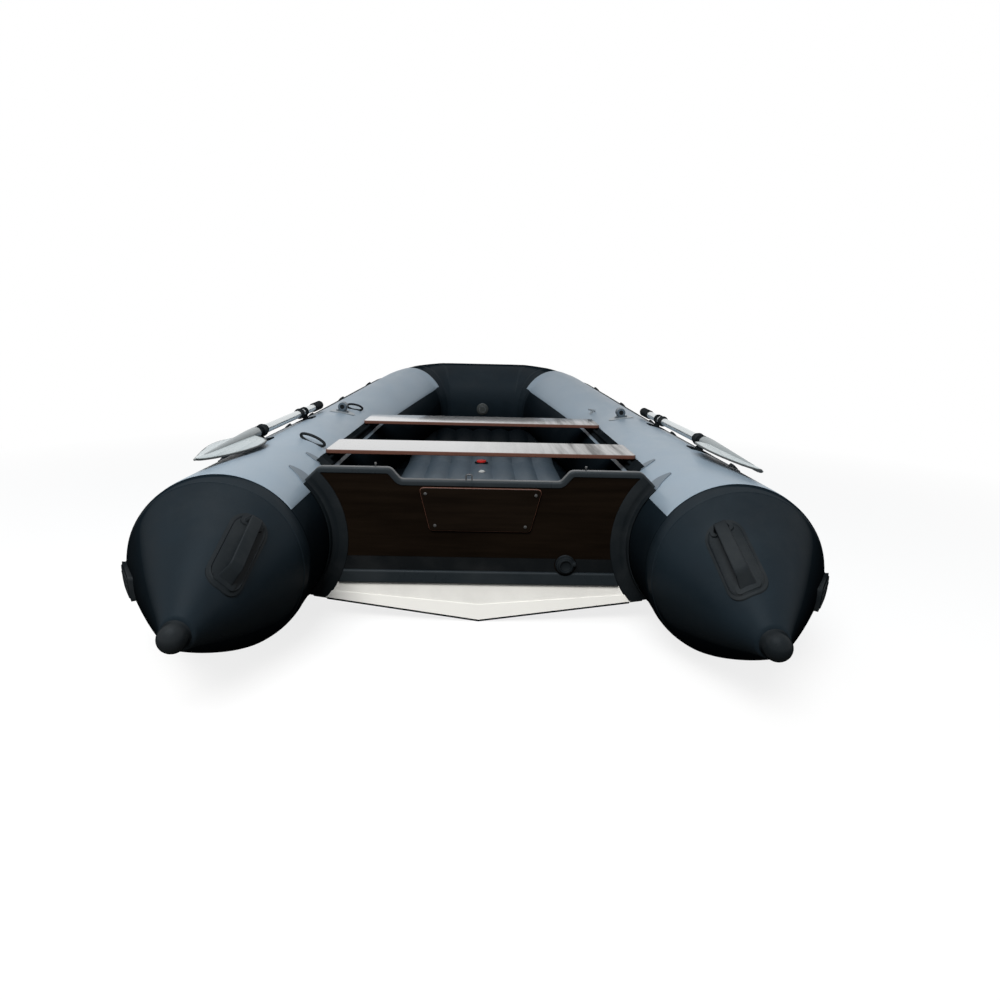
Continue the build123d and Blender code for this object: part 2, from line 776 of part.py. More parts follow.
def oar_blade():
    """Plastic blade with a socket, a middle rib and side ribs."""
    length = oar_front_y - oar_tip_y
    plane = oar_plane().offset(length - blade_length)
    right = [(half, along) for half, along in blade_leaf] + [(0, blade_length)]
    outline = right + [(-half, along) for half, along in reversed(blade_leaf)]
    flat = Plane(origin=plane.origin, x_dir=plane.x_dir, z_dir=plane.x_dir.cross(plane.z_dir))
    low = flat.offset(-blade_thickness / 2)
    made = extrude(low * make_face(Polyline(*outline, close=True)), amount=blade_thickness)
    for x, start, end in blade_ribs:
        for side in (-1, 1):
            rib = Pos(side * x, (start + end) / 2) * Rectangle(5, end - start)
            made += extrude(low.offset(-2) * rib, amount=blade_thickness + 4)
    spine = extrude(plane.offset(-socket_length) * Circle(shaft_radius + 4), amount=blade_length - 30)
    socket = extrude(plane.offset(-socket_length - 10) * Circle(shaft_radius + 0.1), amount=socket_length + gap)
    return made + spine - socket


def oar_clip(from_transom):
    """Holder on the tube whose ring carries the stowed oar's shaft."""
    plane = oar_plane()
    along = oar_front_y - from_transom
    here = plane.origin + plane.z_dir * along
    angle = degrees(atan2(here.Z - axis_z, here.X - side_x))
    inner = skin_radius()
    half_foot = degrees(asin(32 / tube_r))
    foot = sector(inner, inner + 3, angle - half_foot, angle + half_foot)
    foot = side_run(foot, from_transom - 35, from_transom + 35)
    stem = sector(inner + 1, inner + 22, angle - 2, angle + 2)
    stem = side_run(stem, from_transom - clip_length / 2, from_transom + clip_length / 2)
    ring_plane = plane.offset(along - clip_length / 2)
    bore = extrude(ring_plane.offset(-50) * Circle(shaft_radius + 0.3), amount=100 + clip_length)
    ring = extrude(ring_plane * Circle(shaft_radius + clip_thickness), amount=clip_length)
    return foot + (stem + ring - bore)


def rowlock_base():
    """Patch on the tube with the rowlock's low round pedestal and its pin."""
    from_transom = straight - rowlock_place
    seat = on_tube(from_transom, rowlock_angle)
    inner = skin_radius()
    half = degrees(asin(rowlock_patch / tube_r))
    disc = extrude(seat.offset(-20) * Circle(rowlock_patch), amount=60)
    ring = sector(inner, inner + 2, rowlock_angle - half, rowlock_angle + half)
    patch = side_run(ring, from_transom - rowlock_patch, from_transom + rowlock_patch) & disc
    top = 2 * gap + fabric + rowlock_pedestal
    pedestal = extrude(seat.offset(-10) * Circle(rowlock_disc + 1), amount=10 + top)
    pin = extrude(seat * Circle(rowlock_pin_radius), amount=top + rowlock_pin_height)
    skin = side_run(Circle(inner), from_transom - rowlock_patch, from_transom + rowlock_patch)
    return patch + (pedestal + pin - skin)


def rowlock_swivel():
    """Rowlock that turns on the pedestal: a disc with a barrel across it for the oar's pin."""
    seat = on_tube(straight - rowlock_place, rowlock_angle, 2 * gap + fabric + rowlock_pedestal + slide_clearance)
    disc = extrude(seat * Circle(rowlock_disc), amount=4)
    axle_x = -barrel_length / 2
    centre = seat.origin + seat.z_dir * barrel_height + seat.x_dir * axle_x
    axle = Plane(origin=centre, x_dir=seat.y_dir, z_dir=seat.x_dir)
    barrel = extrude(axle * Circle(barrel_radius), amount=barrel_length)
    cheeks = extrude(seat * Rectangle(barrel_length - 6, 2 * barrel_radius - 6), amount=barrel_height - barrel_bore)
    bore = extrude(axle.offset(-40) * Circle(barrel_bore), amount=80 + barrel_length)
    pin_hole = extrude(seat * Circle(rowlock_pin_radius + rowlock_pin_play), amount=rowlock_pin_height + 1)
    return disc + cheeks + barrel - bore - pin_hole


# ---------------------------------------------------------------- lines and small fittings

def grab_line():
    """Rope held along the outer shoulder of the tube; it bends where the gores meet."""
    height = gap + fabric + line_height
    first, last = line_holder_y[0] - line_lead, bow_reach - line_end
    ends = [on_tube(y, line_angle, height).origin for y in (first, last)]
    seams = [seam_point(i, line_angle, height) for i in (1, 2, 3, 4)]
    path = FilletPolyline(ends[0], *seams, ends[1], radius=line_bend)
    return sweep(Plane(origin=path @ 0, z_dir=path % 0) * Circle(line_diameter / 2), path=path)


def line_holder(from_transom):
    """Oval patch with a bridge over the rope."""
    seat = on_tube(from_transom, line_angle, gap + fabric)
    patch = extrude(seat.offset(-30) * Ellipse(46, 26), amount=34)
    bridge = extrude(seat.offset(-10) * SlotOverall(44, 24), amount=10 + line_height + 9)
    rope = extrude(
        Plane(origin=seat.origin + seat.z_dir * line_height - seat.x_dir * 80, z_dir=seat.x_dir)
        * Circle(line_diameter / 2 + 1), amount=160,
    )
    return patch + bridge - rope - tube_near(from_transom)


def tube_near(from_transom):
    """The run of tube at a distance from the transom, grown to the top panel's surface."""
    points = tube_axis()
    y = transom_y + from_transom
    for start, end in zip(points, points[1:]):
        if start.Y <= y <= end.Y:
            core = Circle(tube_r + gap + fabric)
            return extrude(across(start, end).offset(100) * core, amount=-(end - start).length - 200)


def round_valve(plane):
    """Round air valve with its cap, on a plane on a tube's skin."""
    made = extrude(plane.offset(-12) * Circle(valve_radius), amount=12 + 4)
    return made + extrude(plane * Circle(valve_radius - 10), amount=11)


def bow_valve():
    """Air valve on the inner face of the bow."""
    top = tube_axis()[-1]
    angle = radians(bow_valve_angle)
    out = Vector(0, -cos(angle), sin(angle))
    plane = Plane(origin=top + out * (tube_r + gap), x_dir=(1, 0, 0), z_dir=out)
    return round_valve(plane) - both(run(tube_axis()[-2:], Circle(tube_r + gap)))


def side_valve():
    """Air valve low on the inner side of the side tube."""
    return round_valve(on_tube(150, 166, gap)) - side_run(Circle(tube_r + gap), 0, 400)


# ---------------------------------------------------------------- write

def make_parts():
    """Every node of the boat by name."""
    parts = {}

    def pair(name, shape):
        parts[name + "_starboard"] = shape
        parts[name + "_port"] = port(shape)

    pair("side_tube", side_tube())
    parts["bow_tube"] = bow_tube()
    pair("top_panel", top_panel())
    parts["rub_strake"] = rub_strake()
    parts["strake_ends"] = both(strake_end())
    parts["cone_caps"] = both(cone_cap())
    parts["stern_handle_starboard"] = stern_handle(stern_handle_starboard)
    parts["stern_handle_port"] = port(stern_handle(stern_handle_port))
    parts["bow_handle"] = bow_handle()
    parts["tow_ring"] = tow_ring()
    parts["hull_bottom"] = hull_bottom()
    parts["air_floor"] = air_floor()
    parts["floor_valve"] = floor_valve()
    parts["transom_board"] = transom_board()
    parts["transom_trim"] = transom_trim()
    parts["motor_pad_aft"] = motor_pad(True)
    parts["motor_pad_fore"] = motor_pad(False)
    parts["transom_foot_panel"] = bottom_panel()
    parts["transom_v_band"] = v_band()
    parts["transom_edging"] = transom_edging()
    parts["upper_seal"] = seal(seal_mid, seal_top, seal_thickness)
    parts["lower_seal"] = lower_seal()
    pair("transom_holder", transom_holder())
    parts["drain_valve"] = drain_valve()
    parts["transom_eyes"] = transom_eyes()
    pair("bench_rail", bench_rail())
    for name, y in (("aft", aft_bench_y), ("fore", straight - fore_bench_place)):
        parts[name + "_bench"] = bench(y)
        parts[name + "_bench_sliders"] = both(slider(y))
    pair("oar_shaft", oar_shaft())
    pair("oar_blade", oar_blade())
    parts["oar_grips"] = both(oar_grip())
    clips = (fore_clip_y, oar_tip_y + blade_length + socket_length + clip_gap + clip_length / 2)
    collars = [oar_collar(oar_front_y - clip - place) for clip, place in zip(clips, collar_places)]
    parts["oar_collars"] = both(collars[0] + collars[1])
    parts["oar_clips"] = both(oar_clip(clips[0]) + oar_clip(clips[1]))
    pair("rowlock_base", rowlock_base())
    pair("rowlock", rowlock_swivel())
    pair("grab_line", grab_line())
    holder_places = list(line_holder_y) + [bow_reach - place for place in bow_holder_places]
    holders = [line_holder(y) for y in holder_places]
    pair("line_holders", Compound(children=holders))
    parts["bow_valve"] = bow_valve()
    parts["side_valves"] = both(side_valve())
    return parts


os.makedirs("parts", exist_ok=True)
for name, shape in make_parts().items():
    export_step(shape, "parts/" + name + ".step")
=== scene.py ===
import json
import math
import bmesh
import bpy
import numpy as np
from mathutils import Matrix, Vector


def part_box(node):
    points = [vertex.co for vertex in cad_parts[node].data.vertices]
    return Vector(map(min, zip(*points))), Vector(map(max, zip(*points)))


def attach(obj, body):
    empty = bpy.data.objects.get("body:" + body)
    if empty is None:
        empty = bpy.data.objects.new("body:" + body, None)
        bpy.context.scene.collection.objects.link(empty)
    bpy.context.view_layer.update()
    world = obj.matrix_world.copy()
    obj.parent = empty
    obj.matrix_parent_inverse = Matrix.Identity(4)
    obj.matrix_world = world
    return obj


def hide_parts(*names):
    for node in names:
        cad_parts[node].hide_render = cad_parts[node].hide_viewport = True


bl_info = {
    "name": "Inflatable Boat",
    "version": (1, 0, 0),
    "blender": (4, 5, 0),
    "location": "3D View > Sidebar > Boat",
    "description": "Dresses an inflatable boat with air floor, transom, benches, oars and lines",
    "category": "Add Mesh",
}

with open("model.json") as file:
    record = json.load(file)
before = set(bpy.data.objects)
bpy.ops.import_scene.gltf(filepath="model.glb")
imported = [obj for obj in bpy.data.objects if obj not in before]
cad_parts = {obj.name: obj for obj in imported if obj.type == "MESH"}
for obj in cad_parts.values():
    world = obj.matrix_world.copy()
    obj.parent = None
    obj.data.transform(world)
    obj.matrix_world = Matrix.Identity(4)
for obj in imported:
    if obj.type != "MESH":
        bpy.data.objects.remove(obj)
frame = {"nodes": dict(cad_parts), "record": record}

# Places and lengths are in metres: x to starboard, y to the bow, z up.
BOW_GORES = (                    # degrees off the keel line, length, rise of the fore end over the axis
    (6.0, 0.300, 0.020), (10.5, 0.400, 0.066), (12.0, 0.380, 0.113), (33.0, 0.150, 0.135),
    (60.0, 0.130, 0.147),
)
GORE_ROUNDING = (0.12, 0.12, 0.12, 0.060, 0.058, 0.058)     # how far each corner between the gores is rounded
TRANSOM_IN = 0.264               # from the cone's base seam to the transom's aft face
TRANSOM_AHEAD = 0.650            # from the cones' tips to the transom's aft face
DEADRISE = 0.1422                # rise of the V bottom for each metre off the centreline
BLADE_LEAF = (                   # share of the blade's length, share of its greatest width
    (0, 0.03, 0.08, 0.13, 0.18, 0.24, 0.31, 0.40, 0.50, 0.60, 0.70, 0.79, 0.87, 0.93, 0.97, 0.99, 1.0),
    (0.22, 0.40, 0.68, 0.86, 0.96, 1.0, 0.99, 0.93, 0.83, 0.70, 0.555, 0.415, 0.285, 0.18, 0.10, 0.05, 0.02),
)
HANDLES = (                      # share of the cone's length, degrees round it, twist in degrees
    ("starboard", 0.526, 115.3, 0.2), ("port", 0.474, 131.1, -8.7),
)
LINE_HOLDERS = (0.330, 0.720, 1.110, 1.500, 1.940, 2.340)   # ahead of the transom's aft face
STRAP_LOOPS = (                  # both ends of each loop at the benches' port ends
    ((-0.576, -0.727, 0.448), (-0.500, -0.737, 0.418)), ((-0.590, 0.202, 0.452), (-0.531, 0.243, 0.434)),
)
LAMPS = (                        # name, place, target, size, watts, tint, seen in mirrored reflections
    ("sky", (-0.8, 0.4, 4.6), (-0.2, 0.0, 0), (4.5, 5.5), 28, (0.84, 0.93, 1.0), True),
    ("sky_aft", (-0.9, -2.2, 4.4), (-0.2, -1.2, 0), (4.0, 3.0), 97, (0.86, 0.94, 1.0), True),
    ("key", (-1.0, -5.3, 4.1), (0, -1.2, 0.2), (3.0, 2.0), 395, (1.0, 0.985, 0.96), False),
)
CLEAT, ROWLOCK = (1.561, 119.9), (1.2198, 99)     # ahead of the transom, degrees round the tube
SIDE_VALVE, BENCH_LEAF = (0.150, 166), (0.250, 131)
SUNK = -0.0005                   # the underside of glued fabric, a little inside the skin
PROUD = 0.0003                   # how far a fitting stands off the face that it sits on
AFT = (0, -1, 0)
CAMERA = (0.001, -3.171, 0.790)
CAMERA_TURN = (1.452, -12.394, 1.369)    # yaw to starboard, pitch up, roll, in degrees
LENS = 27.70                     # in millimetres, on a sensor 36 mm wide


# ---------------------------------------------------------------- sizes and colours

def length(name, text, default, low=0.0):
    return bpy.props.FloatProperty(name=name, description=text, default=default, min=low, max=5.0,
                                   unit="LENGTH", precision=4)


def bearing(name, text, degrees):
    return bpy.props.FloatProperty(name=name, description=text, default=math.radians(degrees),
                                   subtype="ANGLE")


def colour(name, text, default):
    return bpy.props.FloatVectorProperty(name=name, description=text, default=default, size=3,
                                         min=0.0, max=1.0, subtype="COLOR")


class BoatHullSizes(bpy.types.PropertyGroup):
    tube_radius: length("Tube radius", "Radius of the inflated tubes", 0.215)
    tube_x: length("Tube offset", "From the centreline to a side tube's axis", 0.620)
    axis_z: length("Axis height", "Height of the straight tubes' axes", 0.230)
    stern_y: length("Stern", "The cones' tips", -1.800, -5.0)
    cone_length: length("Cone length", "From the base seam to the cap's tip", 0.386)
    end_radius: length("Cone end radius", "Radius of the cone's rounded end", 0.035)
    end_round: length("Cone end rounding", "How far the cone's end is rounded", 0.006)
    tip_drop: length("End drop", "How much lower the cone's end lies", 0.033)
    tip_inset: length("End inset", "How far inboard the cone's end lies", 0.033)
    cap_length: length("Cap length", "Rubber cap on the cone's end", 0.050)
    cap_radius: length("Cap radius", "Radius of the cone's cap", 0.0295)
    cap_drop: length("Cap drop", "How much lower the cap lies than the tube's axis", 0.034)
    cap_inset: length("Cap inset", "How far inboard the cap lies", 0.031)
    bow_y: length("Bow axis", "Where the bow tube's axis crosses the centreline", 1.568)
    skin: length("Panel thickness", "Thickness of a glued fabric panel", 0.0018)
    band: length("Stern band", "Black tape between the cone's seam and the top panel", 0.040)
    panel_edge: bearing("Panel edge", "Angle of the top panel's inner edge", 142)
    strake_half: bearing("Strake half angle", "Half of the strake's width", 7.21)
    strake_turn: bearing("Strake angle", "Where the strake runs round the tube", -4.5)
    line_angle: bearing("Line angle", "Where the grab line runs round the tube", 44)


class BoatTransomSizes(bpy.types.PropertyGroup):
    face: length("Aft face", "Where the transom's aft face stands", -1.150, -5.0)
    board: length("Thickness", "Thickness of the transom's board", 0.028)
    top: length("Top", "Top of the wings over the ground", 0.424)
    low: length("Notch floor", "Floor of the motor notch over the ground", 0.393)
    wing_in: length("Wing's inner end", "Where the notch's slanted side meets the wing", 0.243)
    wing_out: length("Wing's outer end", "Where the slanted corner starts", 0.431)
    notch: length("Notch", "Half the width of the notch's floor", 0.216)


class BoatOarSizes(bpy.types.PropertyGroup):
    front_x: length("Front offset", "From the centreline to the shaft's fore end", 0.690)
    tip_x: length("Tip offset", "From the centreline to the blade's tip", 0.698)
    front_y: length("Front", "Where the shaft's fore end is", 0.090, -5.0)
    tip_y: length("Tip", "Where the blade's tip is", -1.300, -5.0)
    height: length("Height", "Height of the shaft's axis", 0.466)
    blade: length("Blade length", "Length of the blade", 0.430)
    width: length("Blade width", "Greatest width of the blade", 0.150)
    tilt: bpy.props.FloatVectorProperty(
        name="Tilt", description="How far the starboard and port blade lean outboard",
        default=(math.radians(20), math.radians(3)), size=2, subtype="EULER")
    collars: bpy.props.FloatVectorProperty(
        name="Collars", description="Fore ends of the collars from the grip's end",
        default=(0.310, 0.800), size=2, unit="LENGTH")


class BoatColours(bpy.types.PropertyGroup):
    black_fabric: colour("Black fabric", "Tubes, cones and bow", (0.0064, 0.0107, 0.0146))
    grey_fabric: colour("Grey fabric", "Panels on top of the tubes", (0.212, 0.262, 0.311))
    white_fabric: colour("White fabric", "Bottom and foot of the transom", (0.780, 0.770, 0.740))
    floor_fabric: colour("Floor fabric", "Air floor", (0.092, 0.122, 0.152))
    rubber: colour("Rubber", "Strake, trim, handles and holders", (0.0078, 0.0104, 0.0124))
    film: colour("Plywood film", "Dark film on the boards", (0.0034, 0.0022, 0.0014))
    plies: colour("Plies", "Reddish edge of the boards", (0.110, 0.045, 0.030))
    red: colour("Valve cap", "Cap of the floor's valve", (0.600, 0.020, 0.015))
    blade: colour("Oar blade", "Plastic of the blades", (0.330, 0.370, 0.380))


# ---------------------------------------------------------------- meshes

def new_mesh(name, verts, faces, angle=40.0):
    """An object made of points and faces, with its place in its mesh."""
    mesh = bpy.data.meshes.new(name)
    mesh.from_pydata([tuple(v) for v in verts], [], [tuple(f) for f in faces])
    mesh.validate()
    obj = bpy.data.objects.new(name, mesh)
    bpy.context.scene.collection.objects.link(obj)
    mesh.shade_smooth()
    if angle:
        mesh.set_sharp_from_angle(angle=math.radians(angle))
    return obj


def outward(obj):
    """Merges doubles and turns the faces outwards."""
    work = bmesh.new()
    work.from_mesh(obj.data)
    bmesh.ops.remove_doubles(work, verts=work.verts, dist=1e-5)
    bmesh.ops.recalc_face_normals(work, faces=work.faces)
    work.to_mesh(obj.data)
    work.free()
    obj.data.update()
    return obj


def grid_faces(rows, cols, first=0, wrap_rows=False, wrap_cols=False):
    """Quads between the points of a grid stored row by row."""
    faces = []
    for i in range(rows if wrap_rows else rows - 1):
        for j in range(cols if wrap_cols else cols - 1):
            a = first + i * cols + j
            b = first + i * cols + (j + 1) % cols
            c = first + ((i + 1) % rows) * cols + (j + 1) % cols
            d = first + ((i + 1) % rows) * cols + j
            faces.append((a, b, c, d))
    return faces


def slab(name, top, bottom, angle):
    """Closed sheet between two grids of points of the same size."""
    top, bottom = np.asarray(top, float), np.asarray(bottom, float)
    rows, cols = top.shape[:2]
    count = rows * cols
    verts = list(top.reshape(-1, 3)) + list(bottom.reshape(-1, 3))
    faces = grid_faces(rows, cols)
    faces += [tuple(reversed(f)) for f in grid_faces(rows, cols, count)]
    ring = list(range(cols))
    ring += [i * cols + cols - 1 for i in range(1, rows)]
    ring += [(rows - 1) * cols + j for j in range(cols - 2, -1, -1)]
    ring += [i * cols for i in range(rows - 2, 0, -1)]
    for k, a in enumerate(ring):
        b = ring[(k + 1) % len(ring)]
        faces.append((b, a, a + count, b + count))
    return outward(new_mesh(name, verts, faces, angle=angle))


def swept(name, sections, closed=False, angle=40.0):
    """Skin over a row of closed sections."""
    sections = np.asarray(sections, float)
    rows, cols = sections.shape[:2]
    faces = grid_faces(rows, cols, wrap_rows=closed, wrap_cols=True)
    if not closed:
        faces.append(tuple(range(cols)))
        faces.append(tuple(range((rows - 1) * cols, rows * cols)))
    return outward(new_mesh(name, list(sections.reshape(-1, 3)), faces, angle=angle))


def disc_patch(name, place, outline, height, rings, angle=50.0):
    """Flat piece with rounded edges on a surface: place(u, v, h) maps it, outline is a list of (u, v)."""
    outline = np.asarray(outline, float)
    centre = outline.mean(axis=0)
    count = len(outline)
    verts = []
    # Share of the outline and height: the wall, its rounded edge and the top.
    levels = [(1.0, -0.001), (1.0, height * 0.6)]
    levels += [(1.0 - 0.035 * k / rings, height) for k in (1, 2)]
    levels += [(1.0 - k / rings, height) for k in range(1, rings)]
    for share, h in levels:
        for point in outline:
            u, v = centre + (point - centre) * share
            verts.append(place(u, v, h))
    faces = grid_faces(len(levels), count, wrap_cols=True)
    verts.append(place(centre[0], centre[1], height))
    verts.append(place(centre[0], centre[1], -0.001))
    last = (len(levels) - 1) * count
    for k in range(count):
        faces.append((last + k, last + (k + 1) % count, len(verts) - 2))
        faces.append(((k + 1) % count, k, len(verts) - 1))
    return outward(new_mesh(name, verts, faces, angle=angle))


def mm(*pairs):
    """Pairs of millimetres in metres."""
    return [(a / 1000, b / 1000) for a, b in pairs]


def turns(count):
    """Angles round a full turn."""
    return [math.tau * k / count for k in range(count)]


def with_direction(path):
    """Points of a flat path, each with the path's direction there."""
    for k, point in enumerate(path):
        before, after = path[max(0, k - 1)], path[min(len(path) - 1, k + 1)]
        size = math.hypot(after[0] - before[0], after[1] - before[1])
        yield point, ((after[0] - before[0]) / size, (after[1] - before[1]) / size)


def ring_of(radius, count):
    """Points of a circle."""
    return [(radius * math.cos(turn), radius * math.sin(turn)) for turn in turns(count)]


def rounded_rect(width, height, radius, steps):
    """Outline of a rectangle with round corners."""
    points = []
    for cx, cy, start in ((1, 1, 0), (-1, 1, 90), (-1, -1, 180), (1, -1, 270)):
        for k in range(steps + 1):
            turn = math.radians(start + 90 * k / steps)
            points.append((cx * (width / 2 - radius) + radius * math.cos(turn),
                           cy * (height / 2 - radius) + radius * math.sin(turn)))
    return points


def turned(name, place, profile, count, angle=40.0):
    """Body turned about an axis: profile is (radius, height), place(x, y, z) puts it where it belongs."""
    return swept(name, [[place(x, y, height) for x, y in ring_of(max(radius, 1e-5), count)]
                        for radius, height in profile], angle=angle)


def local(origin, x_axis=(1, 0, 0), z_axis=(0, 0, 1)):
    """Maps a point of a local frame into the boat's frame."""
    x_axis, z_axis = Vector(x_axis).normalized(), Vector(z_axis).normalized()
    y_axis = z_axis.cross(x_axis).normalized()
    x_axis = y_axis.cross(z_axis)
    origin = Vector(origin)

    def place(x, y, z):
        return origin + x_axis * x + y_axis * y + z_axis * z
    return place


def prism(name, outline, place, low, high, bevel, segments):
    """Flat plate with that outline between two heights, its edges rounded."""
    count = len(outline)
    verts = [place(x, y, low) for x, y in outline] + [place(x, y, high) for x, y in outline]
    faces = [tuple(range(count)), tuple(range(count, 2 * count))]
    faces += [(k, (k + 1) % count, (k + 1) % count + count, k + count) for k in range(count)]
    obj = outward(new_mesh(name, verts, faces, angle=35))
    finish_bevel(obj, bevel, segments)
    return obj


def finish_bevel(obj, width, segments):
    """Rounds the sharp edges and keeps the result in the mesh."""
    mod = obj.modifiers.new("round", "BEVEL")
    mod.width = width
    mod.segments = segments
    mod.limit_method = "ANGLE"
    mod.angle_limit = math.radians(35)
    mod.harden_normals = False
    apply_modifiers(obj)
    obj.data.set_sharp_from_angle(angle=math.radians(35))
    keep_flat(obj.data, 40 * width * width)


def keep_flat(mesh, least_area):
    """Sharp edges round the broad faces, so that their shading stays flat."""
    broad = {key for polygon in mesh.polygons if polygon.area > least_area for key in polygon.edge_keys}
    sharp = mesh.attributes.get("sharp_edge") or mesh.attributes.new("sharp_edge", "BOOLEAN", "EDGE")
    for edge in mesh.edges:
        if edge.key in broad:
            sharp.data[edge.index].value = True


def apply_modifiers(obj):
    """Turns the evaluated object into its plain mesh."""
    bpy.context.view_layer.update()
    graph = bpy.context.evaluated_depsgraph_get()
    mesh = bpy.data.meshes.new_from_object(obj.evaluated_get(graph), preserve_all_data_layers=True,
                                           depsgraph=graph)
    obj.modifiers.clear()
    obj.data = mesh


def rounded_path(points, radius, steps=6):
    """Open 2-D path with its corners rounded."""
    made = [points[0]]
    for a, b, c in zip(points, points[1:], points[2:]):
        a, b, c = np.array(a), np.array(b), np.array(c)
        back, on = (a - b) / np.linalg.norm(a - b), (c - b) / np.linalg.norm(c - b)
        half = math.acos(max(-1.0, min(1.0, float(np.dot(back, on))))) / 2
        reach = min(radius / math.tan(half), np.linalg.norm(a - b) / 2.1, np.linalg.norm(c - b) / 2.1)
        first, last = b + back * reach, b + on * reach
        for t in np.linspace(0, 1, steps + 1):
            made.append(tuple((1 - t) ** 2 * first + 2 * t * (1 - t) * b + t * t * last))
    return made + [points[-1]]


def rounded_corners(points, radius):
    """Closed 2-D outline with its corners rounded."""
    loop = [points[-1]] + list(points) + [points[0]]
    return rounded_path(loop, radius, 5)[1:-1]


def pipe(name, path, radius, count=12, closed=False):
    """Round bar along a row of points."""
    path = [Vector(p) for p in path]
    size = len(path)
    tangents = []
    for k in range(size):
        before = path[(k - 1) % size] if closed or k > 0 else path[0]
        after = path[(k + 1) % size] if closed or k < size - 1 else path[-1]
        tangents.append((after - before).normalized())
    across = tangents[0].orthogonal().normalized()
    sections = []
    for point, tangent in zip(path, tangents):
        across = (across - tangent * across.dot(tangent)).normalized()
        up = tangent.cross(across)
        sections.append([point + across * x + up * y for x, y in ring_of(radius, count)])
    return swept(name, sections, closed=closed, angle=40)


def edge_painted(obj, axis, face_material, edge_material):
    """Broad faces in one material, the edges round them in another."""
    paint(obj, face_material, edge_material)
    axis = Vector(axis)
    for polygon in obj.data.polygons:
        polygon.material_index = 0 if abs(polygon.normal.dot(axis)) > 0.96 else 1


def joined(name, pieces):
    """One object out of several."""
    verts, faces, smooth, slots, indices = [], [], [], [], []
    for piece in pieces:
        first = len(verts)
        verts += [tuple(v.co) for v in piece.data.vertices]
        offset = len(slots)
        slots += list(piece.data.materials)
        for polygon in piece.data.polygons:
            faces.append(tuple(first + v for v in polygon.vertices))
            smooth.append(polygon.use_smooth)
            indices.append(offset + polygon.material_index if piece.data.materials else 0)
        bpy.data.objects.remove(piece)
    obj = new_mesh(name, verts, faces, angle=40)
    for slot in slots:
        obj.data.materials.append(slot)
    obj.data.polygons.foreach_set("material_index", indices)
    return obj


def mirrored(obj, name):
    """The piece on the port side."""
    mesh = obj.data.copy()
    mesh.transform(Matrix.Diagonal((-1, 1, 1, 1)))
    mesh.flip_normals()
    twin = bpy.data.objects.new(name, mesh)
    bpy.context.scene.collection.objects.link(twin)
    return twin


def on_port(obj, name):
    """The piece's mirror image in its stead."""
    obj.name = name + "_before"
    twin = mirrored(obj, name)
    bpy.data.objects.remove(obj)
    return twin


def paint(obj, *materials):
    obj.data.materials.clear()
    for material in materials:
        obj.data.materials.append(material)


def settle(obj, material, replaces=(), body="hull"):
    """Gives a finished piece its material and its body, and hides the nodes that it stands for."""
    if material is not None:
        paint(obj, material)
    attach(obj, body)
    if replaces:
        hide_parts(*replaces)


def settle_pair(obj, material, replaces=()):
    """Settles a starboard piece and its mirror image: the first node is starboard's, the second port's."""
    twin = mirrored(obj, obj.name.replace("starboard", "port"))
    settle(obj, material, replaces[:1])
    settle(twin, material, replaces[1:])


# ---------------------------------------------------------------- the hull's surface

